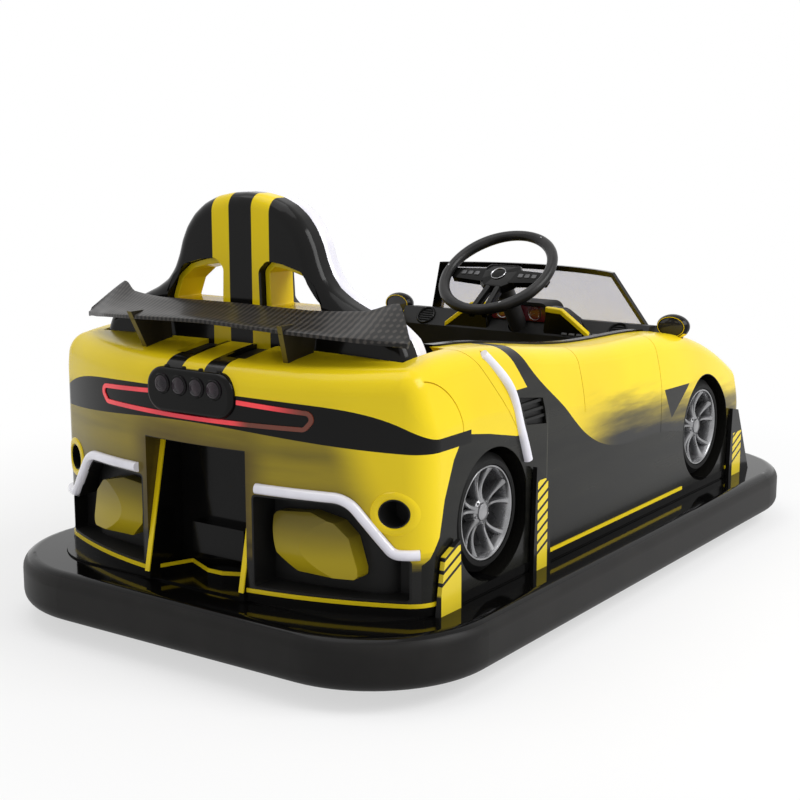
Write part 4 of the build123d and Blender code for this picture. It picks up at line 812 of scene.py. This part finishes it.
CHEEK_LINE = [(0.094, 0.6035), (0.138, 0.6005), (0.172, 0.577), (0.222, 0.541)]
CHEEK_REAR_X = 0.356
CHEEK_FRONT_X = 0.404
for side, hand in ((1, "left"), (-1, "right")):
    bm = bmesh.new()
    outline = [(side * y, z) for y, z in CHEEK_LINE] + [(side * 0.222, 0.505), (side * 0.080, 0.505)]
    loops = []
    for x in (CHEEK_REAR_X, CHEEK_FRONT_X):
        loops.append(add_loop(bm, Matrix.Identity(4), [(x, y, z) for y, z in outline]))
    skin(bm, loops)
    cap(bm, loops[0])
    cap(bm, loops[1])
    bmesh.ops.bevel(bm, geom=bm.edges[:], offset=0.004, segments=3, affect="EDGES")
    piece("dash_cheek_" + hand, bm, [black_gloss])
    bm = bmesh.new()
    loops = []
    for y, z in CHEEK_LINE:
        loops.append(add_loop(bm, Matrix.Identity(4), [
            (CHEEK_REAR_X - 0.0012, side * y, z - 0.013), (CHEEK_REAR_X - 0.0030, side * y, z - 0.0115),
            (CHEEK_REAR_X - 0.0030, side * y, z - 0.0015), (CHEEK_REAR_X - 0.0010, side * y, z + 0.0012),
            (CHEEK_REAR_X + 0.012, side * y, z + 0.0012), (CHEEK_REAR_X + 0.012, side * y, z - 0.010)]))
    skin(bm, loops)
    cap(bm, loops[0])
    cap(bm, loops[-1])
    piece("dash_edge_" + hand, bm, [yellow])

DASH_FACE = basis((0.3725, 0, 0.5520), (0, -1, 0), (-0.042, 0, 0.040))
bm = bmesh.new()
for y in (-0.296, 0.296):
    at = DASH_FACE @ Matrix.Translation((-y, 0, 0))
    lathe(bm, at, [(0.0225, -0.002), (0.0270, -0.001), (0.0285, 0.0030), (0.0265, 0.0048),
                   (0.0235, 0.0035), (0.0222, 0.0005)], 40, closed=True)
    for k in range(-2, 3):
        reach = math.sqrt(0.0228 ** 2 - (k * 0.0075) ** 2)
        pipe(bm, [at @ Vector((-reach, k * 0.0075, 0.001)), at @ Vector((reach, k * 0.0075, 0.001))],
             0.0014, 8)
piece("dash_vents", bm, [black_gloss])
bm = bmesh.new()
for k in range(5):
    at = DASH_FACE @ Matrix.Translation((0.150 + 0.022 * k, -0.020, 0))
    key = rounded_outline([(-0.008, -0.006), (0.008, -0.006), (0.008, 0.006), (-0.008, 0.006)], 0.002)
    plate(bm, at, key, -0.001, 0.004, 0.0012)
piece("dash_switches", bm, [switch_grey])


# Mirrors: glasses, yellow rims and lower strips

MIRROR_HALF_WIDTH = 0.0365
MIRROR_HALF_HEIGHT = 0.0250
MIRROR_HIGH = 0.031
MIRROR_STRIP = [(-0.016, 0.0395, 0.0280), (-0.009, 0.0440, 0.0312), (0.0, 0.0448, 0.0320),
                (0.010, 0.0418, 0.0298)]
for side, hand in ((1, "left"), (-1, "right")):
    low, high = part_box("mirror_" + hand)
    centre = Vector((low.x, (low.y + high.y) / 2, high.z - MIRROR_HIGH))
    bm = bmesh.new()
    glass = [(0.93 * MIRROR_HALF_WIDTH * math.cos(t), 0.93 * MIRROR_HALF_HEIGHT * math.sin(t))
             for t in (math.tau * k / 48 for k in range(48))]
    at = basis(centre + Vector((0.0026, 0, 0)), (0, -1, 0), (-1, 0, 0))
    plate(bm, at, glass, -0.0005, 0.0012, 0.0006, dome=0.0006)
    piece("mirror_glass_" + hand, bm, [mirror_glass])
    bm = bmesh.new()
    ring = [centre + Vector((0.0008, MIRROR_HALF_WIDTH * math.cos(t), MIRROR_HALF_HEIGHT * math.sin(t)))
            for t in (math.tau * k / 60 for k in range(60))]
    pipe(bm, ring, 0.0011, 10, closed=True)
    loops = []
    for along, half_width, half_height in MIRROR_STRIP:
        loops.append(add_loop(bm, Matrix.Identity(4), [
            centre + Vector((0.018 + along, half_width * math.sin(t), -half_height * math.cos(t)))
            for t in (math.radians(-58 + 116 * k / 24) for k in range(25))]))
    skin(bm, loops, closed=False)
    piece("mirror_edge_" + hand, bm, [yellow])


# Collars round the outlets in the rear corners

TAIL_BOW = 0.122
PLAN_CORNER = 0.070
OUTLET_INSET = 0.059
OUTLET_Z = 0.352
body_low, body_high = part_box("body_tail")


def tail_surface_x(y):
    """Place of the body's rear face at a distance from the middle."""
    sweep = (TAIL_BOW ** 2 + body_high.y ** 2) / (2 * TAIL_BOW)
    centre = body_low.x + sweep
    corner_y = body_high.y - PLAN_CORNER
    inner = sweep - PLAN_CORNER
    if y < corner_y * sweep / inner:
        return centre - math.sqrt(sweep ** 2 - y ** 2)
    corner_x = centre - math.sqrt(inner ** 2 - corner_y ** 2)
    return corner_x - math.sqrt(max(PLAN_CORNER ** 2 - (y - corner_y) ** 2, 0))


bm = bmesh.new()
for side in (1, -1):
    loops = []
    for radius, lift in ((0.0435, 0.0), (0.0410, 0.0028), (0.0345, 0.0040), (0.0305, 0.0030),
                         (0.0285, 0.0), (0.0272, -0.012)):
        ring = []
        for k in range(56):
            turn = math.tau * k / 56
            y = body_high.y - OUTLET_INSET + radius * math.cos(turn)
            z = OUTLET_Z + radius * math.sin(turn)
            ring.append((tail_surface_x(y) - lift, side * y, z))
        loops.append(add_loop(bm, Matrix.Identity(4), ring))
    skin(bm, loops)
piece("outlet_collars", bm, [yellow])


# Wing: smooth blade through the stations, with a thin edge line

# Distance from the middle, then the rear and the front edge as place ahead of the tail and height
WING_STATIONS = [(-0.427, 0.142, 0.664, 0.152, 0.673), (-0.370, 0.111, 0.668, 0.199, 0.732),
                 (-0.310, 0.079, 0.675, 0.169, 0.716), (-0.200, 0.046, 0.683, 0.138, 0.713),
                 (0.0, 0.037, 0.690, 0.132, 0.716)]
WING_STATIONS += [(-y, *rest) for y, *rest in WING_STATIONS[-2::-1]]
WING_CAMBER = 0.006
WING_THICKNESS = 0.009


def between_stations(stations, steps):
    """Stations with smooth ones added between them."""
    result = []
    for i in range(len(stations) - 1):
        near, far = Vector(stations[i]), Vector(stations[i + 1])
        before = Vector(stations[max(i - 1, 0)])
        after = Vector(stations[min(i + 2, len(stations) - 1)])
        for k in range(steps):
            t = k / steps
            soft = 0.5 * ((2 * near) + (far - before) * t
                          + (2 * before - 5 * near + 4 * far - after) * t ** 2
                          + (3 * near - before - 3 * far + after) * t ** 3)
            straight = near.lerp(far, t)
            result.append(tuple(straight.lerp(soft, 0.5)))
    result.append(stations[-1])
    return result


def wing_section(station):
    """Closed loop round the blade at one station."""
    y, rear, rear_z, front, front_z = station
    ring = []
    for share in (0.0, 0.04, 0.2, 0.4, 0.6, 0.8, 0.96, 1.0):
        dip = WING_CAMBER * 4 * share * (1 - share)
        lift = 0.0012 if share in (0.0, 1.0) else 0.0
        ring.append((body_low.x + rear + (front - rear) * share, y,
                     rear_z + (front_z - rear_z) * share - dip + lift))
    for share in (1.0, 0.96, 0.8, 0.6, 0.4, 0.2, 0.04, 0.0):
        dip = 0.5 * WING_CAMBER * 4 * share * (1 - share)
        lift = -0.0012 if share in (0.0, 1.0) else 0.0
        ring.append((body_low.x + rear + (front - rear) * share, y,
                     rear_z + (front_z - rear_z) * share - dip + WING_THICKNESS + lift))
    return ring


smooth_stations = between_stations(WING_STATIONS, 6)
bm = bmesh.new()
loops = [add_loop(bm, Matrix.Identity(4), wing_section(station)) for station in smooth_stations]
skin(bm, loops)
cap(bm, loops[0])
cap(bm, loops[-1])
wing = piece("wing_skin", bm, [carbon], sharp=50)
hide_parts("wing_blade")


# Light strips on the side seams and over the rear corners, and the seat's own

STRIP_RADIUS = 0.0105
STRIP_LIFT = 0.003
SIDE_STRIP = [(-0.552, 0.628), (-0.480, 0.556), (-0.446, 0.450), (-0.422, 0.392)]
SIDE_STRIP_BEND = 0.060
SIDE_STRIP_TOP_Y = body_high.y - 0.038
# Distance in from the body's side, and height
REAR_STRIP = [(0.330, 0.381), (0.143, 0.377), (0.058, 0.272), (0.016, 0.272)]
REAR_STRIP_BENDS = (0.060, 0.026)
BESIDE_GROOVE = 0.016


def rounded_path(points, radii, pitch=0.010):
    """Points along straight runs joined by tangent arcs."""
    path = [Vector(points[0])]
    for before, here, after, radius in zip(points, points[1:], points[2:], radii):
        here = Vector(here)
        back, ahead = (Vector(before) - here).normalized(), (Vector(after) - here).normalized()
        half = back.angle(ahead) / 2
        centre = here + (back + ahead).normalized() * (radius / math.sin(half))
        start = (here + back * (radius / math.tan(half)) - centre).normalized()
        finish = (here + ahead * (radius / math.tan(half)) - centre).normalized()
        arc = [centre + radius * start.slerp(finish, k / 8) for k in range(9)]
        path += divided(path[-1], arc[0], pitch) + arc
    return path + divided(path[-1], Vector(points[-1]), pitch) + [Vector(points[-1])]


def divided(start, finish, pitch):
    """Points between two others, about a pitch apart."""
    count = max(int((finish - start).length / pitch), 1)
    return [start.lerp(finish, k / count) for k in range(1, count)]


def surface(*names):
    """Search tree of some nodes' faces."""
    points, faces = [], []
    for name in names:
        mesh = NODES[name].data
        first = len(points)
        points += [vertex.co.copy() for vertex in mesh.vertices]
        faces += [[first + i for i in polygon.vertices] for polygon in mesh.polygons]
    return BVHTree.FromPolygons(points, faces)


flank = surface("body_tail", "body_side_left", "flank_panels")
side_path = []
for point in rounded_path([(x, 0, z) for x, z in SIDE_STRIP], [SIDE_STRIP_BEND] * 2):
    hit = flank.ray_cast(Vector((point.x - BESIDE_GROOVE, 1, point.z)), Vector((0, -1, 0)))[0]
    side_path.append(Vector((point.x, hit.y if hit else SIDE_STRIP_TOP_Y, point.z)))
for sweep in range(60):
    side_path[1:-1] = [(before + here * 2 + after) / 4
                       for before, here, after in zip(side_path, side_path[1:], side_path[2:])]
rear_path = rounded_path([(body_high.y - inward, z, 0) for inward, z in REAR_STRIP], REAR_STRIP_BENDS)

SEAT_REAR_X = -0.752
SEAT_FRONT_X = -0.662
SEAT_ROUND = 0.030
SEAT_LIGHT_REAR = -0.699
SEAT_LIGHT_FRONT = -0.664
SEAT_LIGHT_DEPTH = 0.012
# Half outline of the seat back from its foot to its top: distance from the middle, height
SEAT_BELL = [(0.404, 0.602), (0.403, 0.634), (0.388, 0.666), (0.350, 0.694), (0.300, 0.716),
             (0.252, 0.737), (0.219, 0.758), (0.198, 0.784), (0.185, 0.812), (0.175, 0.842),
             (0.160, 0.872), (0.138, 0.899), (0.110, 0.920), (0.075, 0.935), (0.037, 0.9425),
             (0.0, 0.9445)]
SLOT = [(0.216, 0.700), (0.190, 0.765), (0.155, 0.792), (0.110, 0.804), (0.068, 0.809),
        (0.047, 0.789), (0.050, 0.700)]
SLOT_CORNER = 0.018


def drawn_in(line, amount):
    """Open outline moved inwards; it runs from the left foot over the top to the right foot."""
    result = []
    for i, here in enumerate(line):
        along = (line[min(i + 1, len(line) - 1)] - line[max(i - 1, 0)]).normalized()
        if i in (0, len(line) - 1):
            along = Vector((0, 1 if i == 0 else -1))
        result.append(here + amount * Vector((-along.y, along.x)))
    return result


half_bell = [Vector(point) for point in between_stations(SEAT_BELL, 4)]
bell = half_bell + [Vector((-point.x, point.y)) for point in half_bell[-2::-1]]


def bell_loop(bm, inward, x):
    return add_loop(bm, Matrix.Identity(4), [(x, point.x, point.y) for point in drawn_in(bell, inward)])


slots = []
for side in (1, -1):
    outline = rounded_outline([(side * y, z) for y, z in (SLOT if side > 0 else SLOT[::-1])], SLOT_CORNER, 8)
    slots.append(outline)


def slot_loop(bm, outline, inward, x):
    drawn = inset_outline(outline, inward) if inward else outline
    return add_loop(bm, Matrix.Identity(4), [(x, y, z) for y, z in drawn])


def holed_face(bm, outer, holes, normal):
    """Flat face with openings."""
    edges = []
    for loop in [outer] + holes:
        for first, second in zip(loop, loop[1:] + loop[:1]):
            edges.append(bm.edges.get((first, second)) or bm.edges.new((first, second)))
    bmesh.ops.triangle_fill(bm, use_beauty=True, use_dissolve=False, edges=edges, normal=normal)


bm = bmesh.new()
loops = []
for k in range(10):
    turn = math.radians(90) * k / 9
    loops.append(bell_loop(bm, SEAT_ROUND * (1 - math.sin(turn)),
                           SEAT_REAR_X + SEAT_ROUND * (1 - math.cos(turn))))
loops.append(bell_loop(bm, 0, SEAT_LIGHT_REAR))
loops.append(bell_loop(bm, SEAT_LIGHT_DEPTH, SEAT_LIGHT_REAR))
loops.append(bell_loop(bm, SEAT_LIGHT_DEPTH, SEAT_FRONT_X))
skin(bm, loops, closed=False)
cap(bm, [loop[0] for loop in loops] + [loop[-1] for loop in loops[::-1]])
rear_slots = [slot_loop(bm, outline, 0, SEAT_REAR_X) for outline in slots]
front_slots = [slot_loop(bm, outline, 0, SEAT_FRONT_X) for outline in slots]
holed_face(bm, loops[0], rear_slots, (-1, 0, 0))
holed_face(bm, loops[-1], front_slots, (1, 0, 0))
for rear, front in zip(rear_slots, front_slots):
    skin(bm, [rear, front])
shell = piece("seat_back_shell", bm, [seat_black])
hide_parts("seat_shell")

bm = bmesh.new()
for outline in slots:
    loops = [slot_loop(bm, outline, inward, x) for inward, x in (
        (0.0006, SEAT_REAR_X + 0.022), (0.0016, SEAT_REAR_X + 0.0205), (0.0115, SEAT_REAR_X + 0.0205),
        (0.0130, SEAT_REAR_X + 0.022), (0.0160, SEAT_FRONT_X), (0.0006, SEAT_FRONT_X))]
    skin(bm, loops + loops[:1])
frames = piece("slot_frames", bm, [yellow])
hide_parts("slot_liners")

bm = bmesh.new()
loops = [bell_loop(bm, inward, x) for inward, x in (
    (SEAT_LIGHT_DEPTH, SEAT_LIGHT_REAR + 0.0005), (0.0010, SEAT_LIGHT_REAR + 0.0005),
    (-0.0012, SEAT_LIGHT_REAR + 0.005), (-0.0018, SEAT_LIGHT_REAR + 0.012),
    (-0.0018, SEAT_LIGHT_FRONT - 0.010), (-0.0010, SEAT_LIGHT_FRONT - 0.004),
    (0.0020, SEAT_LIGHT_FRONT), (SEAT_LIGHT_DEPTH, SEAT_LIGHT_FRONT))]
skin(bm, loops + loops[:1], closed=False)
cap(bm, [loop[0] for loop in loops])
cap(bm, [loop[-1] for loop in loops])
for side in (1, -1):
    pipe(bm, [(point.x, side * (point.y + STRIP_LIFT), point.z) for point in side_path], STRIP_RADIUS, 20)
    pipe(bm, [(tail_surface_x(point.x) - STRIP_LIFT, side * point.x, point.y) for point in rear_path],
         STRIP_RADIUS, 20)
strips = piece("light_strips", bm, [light_white])
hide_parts("light_tubes")


# Seat cushions, swelled by cloth pressure, then sewn

def pad(name, mesh, rest, voxel, swell, shrink):
    """Padded form of a mesh, swelled by cloth pressure; rest keeps what it lies on flat."""
    obj = bpy.data.objects.new(name, mesh)
    bpy.context.scene.collection.objects.link(obj)
    points = [vertex.co.copy() for vertex in mesh.vertices]
    centre = (Vector(map(min, *points)) + Vector(map(max, *points))) / 2
    for vertex in mesh.vertices:
        vertex.co = centre + (vertex.co - centre) * shrink
    remesh = obj.modifiers.new("remesh", "REMESH")
    remesh.mode = "VOXEL"
    remesh.voxel_size = voxel
    settle(obj)
    start = [vertex.co.copy() for vertex in obj.data.vertices]
    cloth = obj.modifiers.new("cloth", "CLOTH")
    cloth.settings.use_pressure = True
    cloth.settings.uniform_pressure_force = 4.0
    cloth.settings.effector_weights.gravity = 0.0
    for step in range(1, 21):
        bpy.context.scene.frame_set(step)
    settle(obj)
    for vertex, home in zip(obj.data.vertices, start):
        moved = vertex.co - home
        if moved.length > swell:
            vertex.co = home + moved * (swell / moved.length)
    bpy.context.scene.frame_set(1)
    for vertex in obj.data.vertices:
        rest(vertex.co)
    finer = obj.modifiers.new("finer", "SUBSURF")
    finer.levels = 1
    settle(obj)
    return obj


def settle(obj):
    """Write the modifiers' result into the object's own mesh and drop them."""
    depsgraph = bpy.context.evaluated_depsgraph_get()
    depsgraph.update()
    made = bpy.data.meshes.new_from_object(obj.evaluated_get(depsgraph))
    obj.modifiers.clear()
    obj.data = made


def sew(obj, lines, depth, width, toward):
    """Press sewn channels into the side of a cushion that faces a direction."""
    for vertex in obj.data.vertices:
        if vertex.normal.dot(toward) < 0.35:
            continue
        for line in lines:
            gap = line(vertex.co)
            vertex.co -= toward * depth * math.exp(-(gap / width) ** 2)


def finish_pad(obj, material):
    obj.data.materials.clear()
    obj.data.materials.append(material)
    obj.data.polygons.foreach_set("use_smooth", [True] * len(obj.data.polygons))
    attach(obj, "car")


cushion_low, cushion_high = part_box("seat_cushion")
back_low, back_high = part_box("seat_back_pad")


def lie_down(point):
    point.z = max(point.z, cushion_low.z)


def lean_back(point):
    point.x = max(point.x, back_low.x)


CHANNEL_Y = 0.095
cushion = pad("seat_cushion_pad", NODES["seat_cushion"].data.copy(), lie_down, 0.006, 0.012, 0.965)
middle_x = (cushion_low.x + cushion_high.x) / 2
SEAM_STEP = 0.10
sew(cushion, [lambda p: abs(p.y) - CHANNEL_Y,
              lambda p: (p.x - middle_x - SEAM_STEP) if abs(p.y) < CHANNEL_Y else 1,
              lambda p: (p.x - middle_x) if abs(p.y) < CHANNEL_Y else 1,
              lambda p: (p.x - middle_x + SEAM_STEP) if abs(p.y) < CHANNEL_Y else 1],
    0.006, 0.006, Vector((0, 0, 1)))
finish_pad(cushion, leather)
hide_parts("seat_cushion")

# Half outline of the back cushion, narrow between the slots: distance from the middle, height
BACK_OUTLINE = [(0.150, 0.652), (0.148, 0.688), (0.060, 0.700), (0.044, 0.715), (0.042, 0.800),
                (0.060, 0.822), (0.118, 0.826), (0.088, 0.905)]
BACK_SEAM_LOW = 0.672
BACK_SEAM_HIGH = 0.862
bm = bmesh.new()
outline = BACK_OUTLINE + [(-y, z) for y, z in BACK_OUTLINE[::-1]]
loops = [add_loop(bm, Matrix.Identity(4), [(x, y, z) for y, z in outline])
         for x in (back_low.x, back_high.x)]
skin(bm, loops)
cap(bm, loops[0])
cap(bm, loops[1])
bmesh.ops.recalc_face_normals(bm, faces=bm.faces)
back_mesh = bpy.data.meshes.new("seat_back_cushion")
bm.to_mesh(back_mesh)
bm.free()
back = pad("seat_back_cushion", back_mesh, lean_back, 0.005, 0.008, 0.965)
sew(back, [lambda p: p.z - BACK_SEAM_LOW, lambda p: p.z - BACK_SEAM_HIGH],
    0.005, 0.006, Vector((1, 0, 0)))
finish_pad(back, leather)
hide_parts("seat_back_pad")


# Floor, light and camera

FLOOR_WHITE = 0.6


def seen_by_camera(tree):
    """1 for rays from the camera, in reflections and through clear parts."""
    path = tree.nodes.new("ShaderNodeLightPath")
    seen = path.outputs["Is Camera Ray"]
    for other in ("Is Glossy Ray", "Is Transmission Ray"):
        either = tree.nodes.new("ShaderNodeMath")
        either.operation = "MAXIMUM"
        tree.links.new(seen, either.inputs[0])
        tree.links.new(path.outputs[other], either.inputs[1])
        seen = either.outputs[0]
    return seen


def floor_material():
    """Pale floor that goes over to the white background away from the object."""
    paint = Paint("pale_floor", specular=0.2)
    cloud = paint.noise(1.5)
    paint.set("Base Color", paint.mix(cloud, (0.86, 0.86, 0.865), (0.90, 0.90, 0.90)))
    paint.set("Roughness", paint.blend(cloud, 0.85, 0.95))
    away = paint.add("ShaderNodeVectorMath")
    away.operation = "LENGTH"
    paint.feed(away.inputs[0], paint.where)
    white = paint.add("ShaderNodeEmission")
    white.inputs["Strength"].default_value = 1.0
    share = paint.blend(paint.step(away.outputs["Value"], 0.9, 2.2), FLOOR_WHITE, 1.0)
    mix = paint.add("ShaderNodeMixShader")
    paint.feed(mix.inputs["Fac"], paint.times(share, seen_by_camera(paint.tree)))
    paint.tree.links.new(paint.shader.outputs[0], mix.inputs[1])
    paint.tree.links.new(white.outputs[0], mix.inputs[2])
    paint.tree.links.new(mix.outputs[0], paint.tree.nodes["Material Output"].inputs["Surface"])
    return paint.material


def make_floor(reach):
    bm = bmesh.new()
    bmesh.ops.create_grid(bm, x_segments=8, y_segments=8, size=reach)
    mesh = bpy.data.meshes.new("floor")
    bm.to_mesh(mesh)
    bm.free()
    mesh.materials.append(floor_material())
    obj = bpy.data.objects.new("floor", mesh)
    bpy.context.scene.collection.objects.link(obj)


def make_world():
    """Soft light all round; the camera, reflections and clear parts see a white background."""
    world = bpy.data.worlds.new("studio")
    world.use_nodes = True
    bpy.context.scene.world = world
    tree = world.node_tree
    light = tree.nodes["Background"]
    light.inputs["Color"].default_value = (1, 1, 1, 1)
    light.inputs["Strength"].default_value = 0.5
    white = tree.nodes.new("ShaderNodeBackground")
    white.inputs["Color"].default_value = (1, 1, 1, 1)
    white.inputs["Strength"].default_value = 1.0
    mix = tree.nodes.new("ShaderNodeMixShader")
    tree.links.new(seen_by_camera(tree), mix.inputs["Fac"])
    tree.links.new(light.outputs[0], mix.inputs[1])
    tree.links.new(white.outputs[0], mix.inputs[2])
    tree.links.new(mix.outputs[0], tree.nodes["World Output"].inputs["Surface"])


def soft_box(name, place, target, size, power):
    lamp = bpy.data.lights.new(name, "AREA")
    lamp.shape = "RECTANGLE"
    lamp.size, lamp.size_y = size
    lamp.energy = power
    obj = bpy.data.objects.new(name, lamp)
    bpy.context.scene.collection.objects.link(obj)
    obj.location = place
    obj.rotation_euler = (Vector(target) - Vector(place)).to_track_quat("-Z", "Y").to_euler()


make_floor(60)
make_world()
soft_box("key", (0.6, -3.4, 3.2), (0, 0, 0.4), (2.4, 2.4), 120)
soft_box("top", (-0.8, 0.6, 4.0), (-0.2, 0, 0.4), (3.0, 3.0), 50)

camera_data = bpy.data.cameras.new("camera")
camera_data.lens = 67.43
camera_data.sensor_width = 36
camera = bpy.data.objects.new("camera", camera_data)
bpy.context.scene.collection.objects.link(camera)
camera.location = (-3.080, -2.017, 1.092)
azimuth = math.radians(304.83)
fall = math.radians(10.648)
look = Vector((-math.sin(azimuth) * math.cos(fall), math.cos(azimuth) * math.cos(fall), -math.sin(fall)))
camera.rotation_euler = look.to_track_quat("-Z", "Y").to_euler()
bpy.context.scene.camera = camera
bpy.context.scene.view_settings.view_transform = "Standard"
